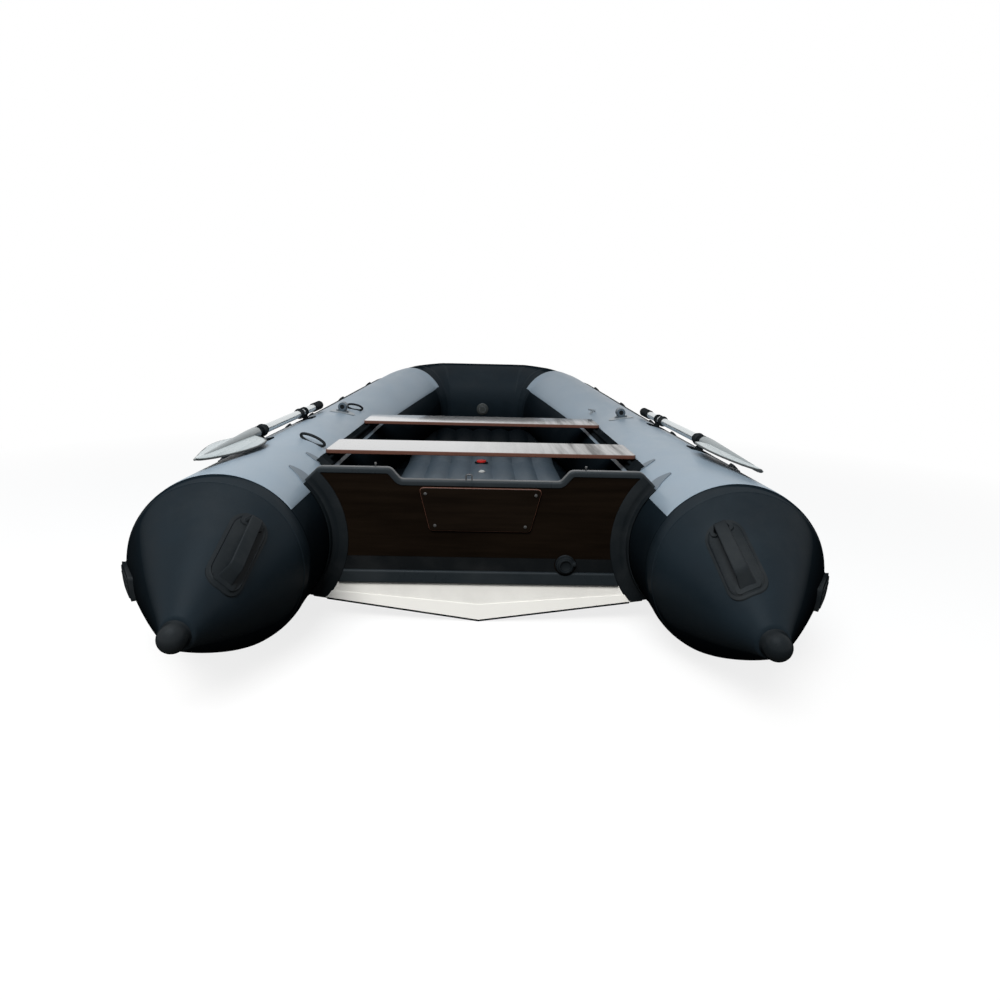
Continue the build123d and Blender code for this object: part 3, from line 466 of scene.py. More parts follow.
class HullSurface:
    """Skin of the tubes: along it from starboard cone to port cone, round it from straight outboard."""

    def __init__(self, sizes):
        self.z = sizes
        self.cone = sizes.cone_length - sizes.cap_length
        corners = self.corners(sizes)
        self.points = self.smooth(corners)
        steps = np.linalg.norm(np.diff(self.points, axis=0), axis=1)
        self.run = np.concatenate([[0.0], np.cumsum(steps)])
        self.half = self.run[-1]
        tangent = np.gradient(self.points, self.run, axis=0)
        self.tangent = tangent / np.linalg.norm(tangent, axis=1)[:, None]
        self.seam_at = [self.nearest(p) for p in corners[1:-1]]

    @staticmethod
    def corners(z):
        """Corners of the tube's axis, from the cone's base seam to the middle of the bow."""
        run_y = sum(step * math.cos(math.radians(turn)) for turn, step, rise in BOW_GORES)
        base_y = z.stern_y + z.cone_length
        points = [(z.tube_x, base_y, z.axis_z), (z.tube_x, z.bow_y - run_y, z.axis_z)]
        for turn, step, rise in BOW_GORES:
            x, y, _ = points[-1]
            points.append((x - step * math.sin(math.radians(turn)), y + step * math.cos(math.radians(turn)),
                           z.axis_z + rise))
        points.append((0.0, z.bow_y, points[-1][2]))
        return [np.array(p) for p in points]

    @staticmethod
    def smooth(corners):
        """Rounds the corners a little, as the fabric does at its seams."""
        points = [corners[0]]
        for before, here, after, reach in zip(corners, corners[1:], corners[2:], GORE_ROUNDING):
            back, on = before - here, after - here
            a = here + back / np.linalg.norm(back) * reach
            b = here + on / np.linalg.norm(on) * reach
            for t in np.linspace(0, 1, 13):
                points.append((1 - t) ** 2 * a + 2 * t * (1 - t) * here + t * t * b)
        points.append(corners[-1])
        dense = [points[0]]
        for a, b in zip(points, points[1:]):
            count = max(1, int(np.linalg.norm(b - a) / 0.02))
            for k in range(1, count + 1):
                dense.append(a + (b - a) * k / count)
        return np.array(dense)

    def nearest(self, point):
        """Distance along the hull of the axis point that is nearest."""
        return float(self.run[np.argmin(np.linalg.norm(self.points - point, axis=1))])

    def station(self, s):
        """Centre, outboard, up and radius at a distance from the cone's base seam, on the starboard half."""
        z = self.z
        if s < 0:
            share = min(1.0, -s / self.cone)
            centre = np.array([z.tube_x - z.tip_inset * share, self.points[0][1] + s,
                               z.axis_z - z.tip_drop * share])
            return centre, np.array([1.0, 0, 0]), np.array([0, 0, 1.0]), self.radius(s)
        centre = np.array([np.interp(s, self.run, self.points[:, k]) for k in range(3)])
        along = np.array([np.interp(s, self.run, self.tangent[:, k]) for k in range(3)])
        along /= np.linalg.norm(along)
        out = np.cross(along, (0, 0, 1.0))
        out /= np.linalg.norm(out)
        return centre, out, np.cross(out, along), self.radius(s)

    def radius(self, s):
        """Tube's radius; the cone runs into it with a soft shoulder."""
        z = self.z
        soft, level, bulge = 0.007, 0.2, 0.004
        cone = z.tube_radius + (z.end_radius - z.tube_radius) * (-s / self.cone)
        cone += bulge * math.sin(math.pi * min(1.0, max(0.0, -s / self.cone)))
        short = max(0.0, 1.0 - (s + self.cone) / z.end_round)
        cone -= z.end_round * (1.0 - math.sqrt(max(0.0, 1.0 - short * short)))
        # The lesser of both radii with a soft change, reckoned from a level near them.
        return level - soft * math.log(math.exp((level - z.tube_radius) / soft)
                                       + math.exp((level - cone) / soft))

    def at(self, s, turn, height=0.0):
        """A point over the skin; past the middle of the bow it runs on to port."""
        side = 1.0
        if s > self.half:
            s, side = 2 * self.half - s, -1.0
        centre, out, up, radius = self.station(s)
        point = centre + (out * math.cos(turn) + up * math.sin(turn)) * (radius + height)
        return np.array([point[0] * side, point[1], point[2]])

    def normal(self, s, turn):
        """Straight out of the skin, and the direction along it."""
        a = self.at(s, turn)
        along = self.at(s + 0.002, turn) - a
        round_it = self.at(s, turn + 0.01) - a
        out = np.cross(round_it, along)
        out /= np.linalg.norm(out)
        if np.dot(out, self.at(s, turn, 0.01) - a) < 0:
            out = -out
        return Vector(a), Vector(out), Vector(along / np.linalg.norm(along))

    def frame_at(self, s, turn, height):
        """Local frame on the skin: x along it, z out of it."""
        origin, out, along = self.normal(s, turn)
        return local(origin + out * height, along, out)

    def stations(self, start, end, fine=0.03):
        """Distances along the hull between two ends, closer where it bends."""
        marks = set(np.linspace(start, end, max(2, int((end - start) / fine) + 1)))
        for seam in self.seam_at:
            for s in (seam, 2 * self.half - seam):
                marks.update(v for v in np.linspace(s - 0.07, s + 0.07, 9) if start < v < end)
        marks.update(v for v in np.linspace(-0.05, 0.05, 11) if start < v < end)
        marks.update(v for v in np.linspace(-self.cone, self.z.end_round - self.cone, 7) if start < v < end)
        ordered, least = sorted(marks), 0.0012
        kept = [ordered[0]]
        for value in ordered[1:-1]:
            if value - kept[-1] > least and end - value > least:
                kept.append(value)
        return kept + [ordered[-1]]


def hull_surface(context):
    return HullSurface(context.scene.boat_hull)


def spot(ahead, degrees):
    """Station and angle of a place: how far ahead of the transom, and the degrees round the tube."""
    return ahead + TRANSOM_IN, math.radians(degrees)


# ---------------------------------------------------------------- shader nodes

def fill(tree, made, inputs):
    """Fills a node's inputs by name or number: sockets are linked, anything else is a value."""
    for key, value in inputs.items():
        socket = made.inputs[key]
        if isinstance(value, bpy.types.NodeSocket):
            tree.links.new(value, socket)
        elif socket.type == "RGBA":
            socket.default_value = tuple(value)[:3] + (1.0,)
        else:
            socket.default_value = value


def node(tree, kind, inputs=None, **options):
    """New node with its options and inputs."""
    made = tree.nodes.new(kind)
    for key, value in options.items():
        setattr(made, key, value)
    fill(tree, made, inputs or {})
    return made


def noise(tree, vector, scale, detail, roughness, stretch=None):
    """Noise texture on the given coordinates."""
    if stretch:
        vector = node(tree, "ShaderNodeMapping", {"Scale": stretch, "Vector": vector}).outputs["Vector"]
    return node(tree, "ShaderNodeTexNoise", {"Vector": vector, "Scale": scale, "Detail": detail,
                                             "Roughness": roughness}).outputs["Fac"]


def wave(tree, vector, axis, scale, distortion=0.0):
    """Bands across an axis."""
    return node(tree, "ShaderNodeTexWave", {"Vector": vector, "Scale": scale, "Distortion": distortion},
                wave_type="BANDS", bands_direction=axis).outputs["Fac"]


def ramp(tree, value, low, high, to_low=0.0, to_high=1.0):
    """Maps a value's range to another."""
    return node(tree, "ShaderNodeMapRange", {"Value": value, "From Min": low, "From Max": high,
                                             "To Min": to_low, "To Max": to_high}).outputs["Result"]


def combine(tree, operation, a, b):
    """Math node on two values."""
    return node(tree, "ShaderNodeMath", {0: a, 1: b}, operation=operation).outputs[0]


def plus(tree, a, b):
    return combine(tree, "ADD", a, b)


def times(tree, a, b):
    return combine(tree, "MULTIPLY", a, b)


def mixed(tree, factor, a, b):
    """Mix of two colours."""
    return node(tree, "ShaderNodeMix", {"Factor": factor, "A": a, "B": b}, data_type="RGBA").outputs["Result"]


def either(tree, factor, a, b):
    """Mix of two shader nodes."""
    return node(tree, "ShaderNodeMixShader", {"Fac": factor, 1: a.outputs[0], 2: b.outputs[0]})


def bump(tree, height, strength, distance):
    return node(tree, "ShaderNodeBump", {"Strength": strength, "Distance": distance,
                                         "Height": height}).outputs["Normal"]


def object_coords(tree):
    return node(tree, "ShaderNodeTexCoord").outputs["Object"]


def axis_of(tree, vector, axis):
    return node(tree, "ShaderNodeSeparateXYZ", {0: vector}).outputs[axis]


def upward(tree):
    """How far a face looks upwards."""
    return axis_of(tree, node(tree, "ShaderNodeNewGeometry").outputs["Normal"], "Z")


def grouped(tree, name, inputs, outputs, build, values):
    """Node of a shared group: build(its tree, its inputs) gives what its outputs say; it is made once."""
    shared = bpy.data.node_groups.get(name)
    if not shared:
        shared = bpy.data.node_groups.new(name, "ShaderNodeTree")
        for label, default in inputs.items():
            kind = "NodeSocketColor" if isinstance(default, tuple) else "NodeSocketFloat"
            shared.interface.new_socket(label, in_out="INPUT", socket_type=kind).default_value = default
        for label in outputs:
            kind = "NodeSocketColor" if label == "Colour" else "NodeSocketFloat"
            shared.interface.new_socket(label, in_out="OUTPUT", socket_type=kind)
        given = node(shared, "NodeGroupInput").outputs
        fill(shared, node(shared, "NodeGroupOutput"), build(shared, given))
    return node(tree, "ShaderNodeGroup", values, node_tree=shared).outputs


def fabric_group(tree, values):
    """Coated fabric: soft mottling, handling marks, roughness and the fine weave under the coat."""
    def build(tree, given):
        coords = object_coords(tree)
        broad = noise(tree, coords, 2.3, 3.0, 0.55)
        marks = noise(tree, coords, 14.0, 4.0, 0.6, (1.0, 0.35, 1.0))
        fine = noise(tree, coords, 160.0, 2.0, 0.5)
        tone = plus(tree, ramp(tree, broad, 0.3, 0.7, -1.0, 1.0), ramp(tree, marks, 0.35, 0.65, -0.7, 0.7))
        amount = times(tree, tone, given["Mottling"])
        bright = node(tree, "ShaderNodeHueSaturation", {"Value": plus(tree, amount, 1.0),
                                                        "Color": given["Colour"]}).outputs["Color"]
        dust = ramp(tree, noise(tree, coords, 5.0, 5.0, 0.65), 0.5, 0.75)
        weave = plus(tree, wave(tree, coords, "X", 320.0), wave(tree, coords, "Y", 320.0))
        weave = times(tree, plus(tree, weave, wave(tree, coords, "Z", 320.0)), 0.10)
        height = plus(tree, times(tree, fine, 0.35), weave)
        return {
            "Colour": mixed(tree, times(tree, dust, given["Dust"]), bright, (0.42, 0.42, 0.40)),
            "Roughness": plus(tree, given["Roughness"], ramp(tree, marks, 0.3, 0.7, -0.05, 0.07)),
            "Height": plus(tree, height, times(tree, broad, given["Waviness"])),
        }
    inputs = {"Colour": (0.5, 0.5, 0.5, 1), "Roughness": 0.45, "Mottling": 0.06, "Dust": 0.0, "Waviness": 4.0}
    return grouped(tree, "Coated Fabric", inputs, ("Colour", "Roughness", "Height"), build, values)


def moulded_group(tree, values):
    """Moulded rubber or plastic: fine grain, slight fading and rub marks."""
    def build(tree, given):
        coords = object_coords(tree)
        patches = noise(tree, coords, 9.0, 4.0, 0.6)
        fade = times(tree, ramp(tree, patches, 0.45, 0.75), given["Fading"])
        return {
            "Colour": mixed(tree, fade, given["Colour"], (0.30, 0.30, 0.30)),
            "Roughness": plus(tree, given["Roughness"], ramp(tree, patches, 0.3, 0.7, -0.06, 0.08)),
            "Height": noise(tree, coords, given["Grain Scale"], 2.0, 0.6),
        }
    inputs = {"Colour": (0.02, 0.02, 0.02, 1), "Roughness": 0.5, "Fading": 0.04, "Grain Scale": 700.0}
    return grouped(tree, "Moulded", inputs, ("Colour", "Roughness", "Height"), build, values)


def wood_group(tree, values):
    """Wood figure along X: long fibres and cloudy tone."""
    def build(tree, given):
        coords = object_coords(tree)
        fibres = noise(tree, coords, 60.0, 4.0, 0.6, (0.06, 1.0, 1.0))
        cloud = noise(tree, coords, 7.0, 4.0, 0.6, (0.35, 1.0, 1.0))
        value = plus(tree, times(tree, fibres, 0.55), times(tree, cloud, 0.45))
        return {"Colour": mixed(tree, ramp(tree, value, 0.38, 0.62), given["Dark"], given["Light"]),
                "Height": value}
    inputs = {"Dark": (0.02, 0.01, 0.01, 1), "Light": (0.05, 0.03, 0.02, 1)}
    return grouped(tree, "Wood Figure", inputs, ("Colour", "Height"), build, values)


# ---------------------------------------------------------------- materials

def material_of(name, build):
    """Material with a Principled shader, made once: build(tree) gives the shader's inputs."""
    made = bpy.data.materials.get(name)
    if not made:
        made = bpy.data.materials.new(name)
        made.use_nodes = True
        tree = made.node_tree
        fill(tree, tree.nodes["Principled BSDF"], build(tree))
    return made


def shade(tint, factor):
    return tuple(v * factor for v in tint)


def turned_away(tree, specular):
    """How far a face turns away from the eye, and the gloss that is left there."""
    away = node(tree, "ShaderNodeLayerWeight").outputs["Facing"]
    return away, ramp(tree, away, 0.25, 0.70, specular, 0.0)


def coated_fabric(name, tint, rough=0.42, mottling=0.05, dust=0.0, waviness=4.0, specular=0.5, dim_sides=False,
                  second=None, mask=None):
    """Coated fabric. With dim_sides it loses gloss where it turns away, and its colour gets painted shade
    there, near black, except on faces that look up; mask shows a second tint.
    """
    def build(tree):
        cloth = fabric_group(tree, {"Colour": tint, "Roughness": rough, "Mottling": mottling, "Dust": dust,
                                    "Waviness": waviness})
        colour_out, gloss = cloth["Colour"], specular
        if dim_sides:
            away, gloss = turned_away(tree, specular)
            # Painted shade: where the face turns away from the eye and doesn't look up, the colour goes
            # towards near black.
            not_facing_up = ramp(tree, upward(tree), 0.35, 0.80, 1.0, 0.0)
            share = times(tree, ramp(tree, away, 0.40, 0.95, 0.0, 0.80), not_facing_up)
            colour_out = mixed(tree, share, colour_out, (0.002, 0.002, 0.002))
        if mask:
            colour_out = mixed(tree, mask(tree), colour_out, second)
        return {"Base Color": colour_out, "Roughness": cloth["Roughness"], "Specular IOR Level": gloss,
                "Normal": bump(tree, cloth["Height"], 0.22, 0.0006)}
    return material_of(name, build)


def facing_up(tree):
    """One where the face looks upwards."""
    return ramp(tree, upward(tree), 0.1, 0.3)


def bow_end_shade(tree):
    """One at the fore end of the floor, where its colour is painted dark: painted shade between the benches
    and towards the bow.
    """
    return ramp(tree, axis_of(tree, object_coords(tree), "Y"), 0.50, 1.00)


def moulded(name, tint, rough, fading, grain, specular=0.5, dim_sides=False):
    """Moulded rubber or plastic; with dim_sides it loses its gloss where it turns away."""
    def build(tree):
        body = moulded_group(tree, {"Colour": tint, "Roughness": rough, "Fading": fading,
                                    "Grain Scale": grain})
        return {"Base Color": body["Colour"], "Roughness": body["Roughness"],
                "Specular IOR Level": turned_away(tree, specular)[1] if dim_sides else specular,
                "Normal": bump(tree, body["Height"], 0.15, 0.0004)}
    return material_of(name, build)


def film_plywood(name, tint, light, specular):
    """Plywood with a dull dark film."""
    def build(tree):
        wood = wood_group(tree, {"Dark": tint, "Light": light})
        return {"Base Color": wood["Colour"], "Roughness": 0.50, "Specular IOR Level": specular,
                "Normal": bump(tree, wood["Height"], 0.05, 0.0008)}
    return material_of(name, build)


def bench_film(name, tint, light):
    """Lacquered film of a bench: glossy, duller and streaky towards its starboard end."""
    def build(tree):
        wood = wood_group(tree, {"Dark": tint, "Light": light})
        coords = object_coords(tree)
        streaks = ramp(tree, noise(tree, coords, 26.0, 3.0, 0.6, (1.0, 0.06, 1.0)), 0.35, 0.65, 0.55, 1.0)
        worn = times(tree, ramp(tree, axis_of(tree, coords, "X"), -0.10, 0.30), streaks)
        gloss = combine(tree, "SUBTRACT", 1.0, times(tree, worn, 0.88))
        sheen = times(tree, times(tree, gloss, gloss), 0.7)
        # The blue Specular Tint is a painted sky colour in the bench's reflection.
        return {"Base Color": wood["Colour"], "Roughness": 0.12, "Specular IOR Level": sheen,
                "Specular Tint": (0.72, 0.86, 1.0), "Coat Weight": gloss, "Coat Roughness": 0.05,
                "Coat IOR": 1.6, "Normal": bump(tree, wood["Height"], 0.05, 0.0008)}
    return material_of(name, build)


def ply_edge(name, tint):
    """Sealed edge of plywood: thin layers one over another."""
    def build(tree):
        coords = object_coords(tree)
        fibres = noise(tree, coords, 90.0, 3.0, 0.6, (0.2, 0.2, 2.0))
        value = plus(tree, times(tree, wave(tree, coords, "Z", 130.0, 0.6), 0.5), times(tree, fibres, 0.5))
        return {"Base Color": mixed(tree, ramp(tree, value, 0.3, 0.7), shade(tint, 0.55), tint),
                "Roughness": 0.5, "Normal": bump(tree, value, 0.2, 0.0005)}
    return material_of(name, build)


def metal(name, tint, rough):
    """Metal with fine drawn lines."""
    def build(tree):
        lines = noise(tree, object_coords(tree), 260.0, 2.0, 0.5, (1.0, 0.04, 1.0))
        return {"Base Color": tint, "Metallic": 1.0, "Normal": bump(tree, lines, 0.08, 0.0003),
                "Roughness": ramp(tree, lines, 0.3, 0.7, rough - 0.07, rough + 0.08)}
    return material_of(name, build)


def materials(context):
    """Every finish of the boat by name."""
    c = context.scene.boat_colours
    return {
        # Black fabric and seam tape: painted shade on the sides that turn away from the eye.
        "black": coated_fabric("Black Coated Fabric", c.black_fabric, 0.42, 0.10, 0.01, 5.0, 0.07, True),
        "tape": coated_fabric("Black Seam Tape", shade(c.black_fabric, 1.05), 0.40, 0.08, 0.01, 2.0, 0.09,
                              True),
        "grey": coated_fabric("Grey Coated Fabric", c.grey_fabric, 0.40, 0.05, 0.02, 5.0, 0.20),
        "leaf": coated_fabric("Grey Patch", shade(c.grey_fabric, 0.50), 0.45, 0.04, 0.02, 2.0, 0.15),
        "white": coated_fabric("White Coated Fabric", c.white_fabric, dust=0.01, specular=0.12,
                               second=c.black_fabric, mask=facing_up),
        "white_band": coated_fabric("White Seam Band", shade(c.white_fabric, 1.12), 0.36, 0.01),
        # Floor fabric with painted shade: it turns near black towards the bow.
        "floor": coated_fabric("Floor Fabric", c.floor_fabric, dust=0.01, specular=0.12,
                               second=shade(c.black_fabric, 0.3), mask=bow_end_shade),
        "rubber": moulded("Black Rubber", shade(c.rubber, 0.8), 0.36, 0.03, 500.0, 0.08, True),
        # Trim Rubber is the rubber painted 1.5 times lighter: a painted highlight on the trim's top and on
        # the lower seal's bulge.
        "trim": moulded("Trim Rubber", shade(c.rubber, 1.5), 0.30, 0.02, 500.0, 0.14),
        # Seal Rubber is the rubber painted much darker: painted shade on the upper seal, the foot's bead and
        # the rowlock bores; the edging takes it too.
        "seal": moulded("Seal Rubber", shade(c.rubber, 0.35), 0.34, 0.02, 500.0, 0.16, True),
        "plastic": moulded("Black Plastic", shade(c.rubber, 0.8), 0.38, 0.02, 900.0, 0.10, True),
        "grey_plastic": moulded("Grey Plastic", (0.200, 0.225, 0.245), 0.42, 0.06, 900.0),
        "valve": moulded("Valve Plastic", (0.040, 0.045, 0.045), 0.35, 0.06, 900.0, 0.3),
        "drum": moulded("Rowlock Plastic", (0.060, 0.080, 0.100), 0.38, 0.04, 900.0, 0.3),
        "white_plastic": moulded("White Plastic", (0.70, 0.70, 0.68), 0.35, 0.02, 900.0),
        "red": moulded("Red Plastic", c.red, 0.30, 0.0, 900.0),
        "blade": moulded("Blade Plastic", c.blade, 0.28, 0.02, 800.0),
        "spine": moulded("Spine Plastic", shade(c.blade, 0.55), 0.32, 0.02, 800.0),
        "rim": moulded("Rim Plastic", shade(c.blade, 0.12), 0.35, 0.02, 800.0, 0.2),
        "board": film_plywood("Transom Plywood", c.film, shade(c.film, 2.2), 0.02),
        "pad": film_plywood("Pad Plywood", shade(c.film, 1.1), shade(c.film, 2.3), 0.03),
        "bench": bench_film("Bench Plywood", shade(c.film, 1.3), shade(c.film, 2.6)),
        "plies": ply_edge("Plywood Edge", c.plies),
        "aluminium": metal("Aluminium", (0.60, 0.64, 0.65), 0.24),
        "steel": metal("Stainless Steel", (0.46, 0.46, 0.45), 0.28),
        "dull_steel": metal("Dull Steel", (0.13, 0.13, 0.13), 0.40),
        "rope": moulded("Black Line", shade(c.rubber, 1.6), 0.65, 0.05, 900.0, 0.25),
    }


# ---------------------------------------------------------------- Geometry Nodes for what repeats

def repeat_tree():
    """Puts a shape on every point, turned as the point says, and makes it real."""
    tree = bpy.data.node_groups.get("Repeat Shape")
    if tree:
        return tree
    tree = bpy.data.node_groups.new("Repeat Shape", "GeometryNodeTree")
    inputs = {"Geometry": "Geometry", "Shape": "Object", "Size": "Float", "Material": "Material"}
    for label, kind in inputs.items():
        tree.interface.new_socket(label, in_out="INPUT", socket_type="NodeSocket" + kind)
    tree.interface.new_socket("Geometry", in_out="OUTPUT", socket_type="NodeSocketGeometry")
    given = node(tree, "NodeGroupInput").outputs
    shape = node(tree, "GeometryNodeObjectInfo", {"Object": given["Shape"]}).outputs["Geometry"]
    turn = node(tree, "GeometryNodeInputNamedAttribute", {"Name": "turn"}, data_type="FLOAT_VECTOR")
    copies = node(tree, "GeometryNodeInstanceOnPoints", {
        "Points": given["Geometry"], "Instance": shape, "Rotation": turn.outputs["Attribute"],
        "Scale": given["Size"]})
    real = node(tree, "GeometryNodeRealizeInstances", {"Geometry": copies.outputs["Instances"]})
    finish = node(tree, "GeometryNodeSetMaterial", {"Geometry": real.outputs["Geometry"],
                                                    "Material": given["Material"]})
    node(tree, "NodeGroupOutput", {"Geometry": finish.outputs["Geometry"]})
    return tree


def repeated(name, shape, places, material, size=1.0):
    """Copies of a shape, made at the origin with z up, at (origin, x axis, z axis) places."""
    carrier = bpy.data.meshes.new(name)
    carrier.from_pydata([tuple(origin) for origin, x_axis, z_axis in places], [], [])
    rotations = carrier.attributes.new("turn", "FLOAT_VECTOR", "POINT")
    for k, (origin, x_axis, z_axis) in enumerate(places):
        z_axis = Vector(z_axis).normalized()
        y_axis = z_axis.cross(Vector(x_axis)).normalized()
        x_axis = y_axis.cross(z_axis)
        rotations.data[k].vector = Matrix((x_axis, y_axis, z_axis)).transposed().to_euler()
    obj = bpy.data.objects.new(name, carrier)
    bpy.context.scene.collection.objects.link(obj)
    mod = obj.modifiers.new("repeat", "NODES")
    mod.node_group = repeat_tree()
    sockets = {s.name: s.identifier for s in mod.node_group.interface.items_tree if s.in_out == "INPUT"}
    mod[sockets["Shape"]] = shape
    mod[sockets["Size"]] = size
    mod[sockets["Material"]] = material
    apply_modifiers(obj)
    bpy.data.objects.remove(shape)
    obj.data.shade_smooth()
    obj.data.set_sharp_from_angle(angle=math.radians(40))
    return obj


def at_origin(x, y, z):
    return Vector((x, y, z))


# ---------------------------------------------------------------- hull

def hull_tube(name, surface, start, end):
    """Closed length of the inflated skin between two stations."""
    return swept(name, [[surface.at(s, turn) for turn in turns(96)] for s in surface.stations(start, end)],
                 angle=0)


def skin_panel(name, surface, start, end, low, high, height, wider):
    """Fabric panel glued on the skin between two stations and two angles, wider at the bow."""
    soft = 0.004
    marks = surface.stations(start, end)
    marks = [marks[0], marks[0] + soft] + marks[1:-1] + [marks[-1] - soft, marks[-1]]
    radius = surface.z.tube_radius
    steps = int(abs(high - low) * radius / 0.018)
    edge = soft / radius
    across = [low, low + edge] + list(np.linspace(low, high, steps + 1))[1:-1] + [high - edge, high]
    first = surface.seam_at[0]
    top, under = [], []
    for i, s in enumerate(marks):
        grown = 1.0 + wider * min(1.0, max(0.0, (s - first) / (end - first)))
        spread = [low + (turn - low) * grown for turn in across]
        rims = [i in (0, len(marks) - 1) or j in (0, len(across) - 1) for j in range(len(across))]
        top.append([surface.at(s, turn, height * (0.45 if rim else 1.0)) for turn, rim in zip(spread, rims)])
        under.append([surface.at(s, turn, SUNK) for turn in spread])
    return slab(name, top, under, angle=50)


def ring_band(surface, start, end, height):
    """Tape all the way round the tube."""
    marks = surface.stations(start, end, 0.02)
    profile = [(marks[0], SUNK), (marks[0], height * 0.4), (marks[0] + 0.0015, height)]
    profile += [(s, height) for s in marks[1:-1]]
    profile += [(marks[-1] - 0.0015, height), (marks[-1], height * 0.4), (marks[-1], SUNK)]
    return swept("band", [[surface.at(s, turn, h) for s, h in profile] for turn in turns(96)], closed=True)


def cone_cap(name, surface):
    """Rubber cap with a lip, on the cone's tip."""
    z = surface.z
    origin = (z.tube_x - z.cap_inset, z.stern_y + z.cap_length, z.axis_z - z.cap_drop)
    place = local(origin, z_axis=AFT)
    r = z.cap_radius
    profile = [(r * 0.6, -0.012), (r + 0.0020, -0.012), (r + 0.0024, -0.004), (r + 0.0012, 0.0005),
               (r + 0.0002, 0.0025), (r, 0.008), (r * 0.995, 0.016)]
    for k in range(1, 11):
        turn = math.pi / 2 * k / 10
        profile.append((r * 0.995 * math.cos(turn), 0.018 + (z.cap_length - 0.018) * math.sin(turn)))
    return turned(name, place, profile, 40, angle=30)


def strake(name, surface):
    """Rubber strake with a round bead and two thin ribs, swept round the hull."""
    half = surface.z.strake_half
    profile = [(-1.0, 0.0005), (-1.0, 0.0022), (-0.93, 0.0042), (-0.62, 0.0062), (-0.55, 0.0090),
               (-0.48, 0.0070), (-0.26, 0.0092), (-0.20, 0.0128)]
    for k in range(1, 8):
        turn = math.pi * k / 8
        profile.append((-0.20 * math.cos(turn), 0.0105 + 0.0062 * math.sin(turn)))
    profile += [(-x, h) for x, h in reversed(profile[:8])]
    start = 0.004
    return swept(name, [[surface.at(s, surface.z.strake_turn + x * half, h) for x, h in profile]
                        for s in surface.stations(start, 2 * surface.half - start, 0.05)], angle=45)


def skin_place(surface, s, turn, twist=0.0):
    """Maps flat (u, v, h) on to the skin about a station: u runs along it, v round it."""
    cos, sin = math.cos(twist), math.sin(twist)

    def place(u, v, h):
        along = u * cos - v * sin
        round_it = u * sin + v * cos
        here = s + along
        folded = here if here <= surface.half else 2 * surface.half - here
        return surface.at(here, turn + round_it / max(0.03, surface.radius(folded)), h)
    return place


def grab_handle(name, place):
    """Moulded handle: an oblong pad with a sunk middle, and a flat strap on flared feet."""
    reach, width, rise = 0.184, 0.090, 0.031
    outline = rounded_rect(reach, width, width * 0.40, 8)
    base = disc_patch(name + "_pad", place, outline, 0.0034, 5)
    inner = rounded_rect(reach - 0.022, width - 0.022, width * 0.32, 8)
    rim_out = rounded_rect(reach - 0.010, width - 0.010, width * 0.37, 8)
    sections = []
    for (ax, ay), (bx, by) in zip(rim_out, inner):
        mx, my = (ax + bx) / 2, (ay + by) / 2
        sections.append([place(ax, ay, 0.0028), place(mx, my, 0.0052),
                         place(bx, by, 0.0028), place(mx, my, 0.0010)])
    rim = swept(name + "_rim", sections, closed=True, angle=0)
    half = reach / 2 - 0.022
    ends = [(-half - 0.004, -0.004), (-half + 0.010, rise), (half - 0.010, rise), (half + 0.004, -0.004)]
    path = rounded_path(ends, 0.012, 7)
    strap_sections = []
    for (x, lift), (tx, tz) in with_direction(path):
        flare = max(0.0, 1.0 - max(0.0, lift) / (rise * 0.9)) ** 1.6
        wide, thick = 0.0120 + 0.0095 * flare, 0.0036 + 0.0016 * flare
        strap_sections.append([place(x - tz * b, a, lift + tx * b)
                               for a, b in rounded_rect(2 * wide, 2 * thick, thick * 0.8, 3)])
    strap = swept(name + "_strap", strap_sections, angle=0)
    feet = []
    for side in (-1, 1):
        foot = [(side * (half + 0.001) + x, y) for x, y in rounded_rect(0.024, 0.052, 0.010, 5)]
        feet.append(disc_patch(name + "_foot", place, foot, 0.0070, 4, angle=60))
    return joined(name, [base, rim, strap] + feet)


# ---------------------------------------------------------------- operators

class BOAT_OT_tubes(bpy.types.Operator):
    """Inflated tubes with their stern cones, bow chamber and seam tapes"""
    bl_idname = "boat.tubes"
    bl_label = "Tubes"
    bl_options = {"REGISTER", "UNDO"}

    def execute(self, context):
        surface, finish = hull_surface(context), materials(context)
        joint = surface.seam_at[3]
        tube = hull_tube("side_tube_skin_starboard", surface, -surface.cone, joint)
        settle_pair(tube, finish["black"], ["side_tube_starboard", "side_tube_port"])
        bow = hull_tube("bow_tube_skin", surface, joint, 2 * surface.half - joint)
        settle(bow, finish["black"], ["bow_tube"])
        bands = [ring_band(surface, -0.012, 0.038, 0.0011)]
        bands += [ring_band(surface, seam - 0.016, seam + 0.016, 0.0007) for seam in surface.seam_at[3:6]]
        settle_pair(joined("seam_tapes_starboard", bands), finish["tape"])
        return {"FINISHED"}


class BOAT_OT_panels(bpy.types.Operator):
    """Grey panels over the tops of the side tubes"""
    bl_idname = "boat.panels"
    bl_label = "Top panels"
    bl_options = {"REGISTER", "UNDO"}

    def execute(self, context):
        surface, finish = hull_surface(context), materials(context)
        z = surface.z
        end = surface.seam_at[3] + 0.070
        low = z.strake_turn + z.strake_half + 0.015
        panel = skin_panel("grey_panel_starboard", surface, z.band, end, low, z.panel_edge, z.skin, 0.045)
        settle_pair(panel, finish["grey"], ["top_panel_starboard", "top_panel_port"])
        return {"FINISHED"}


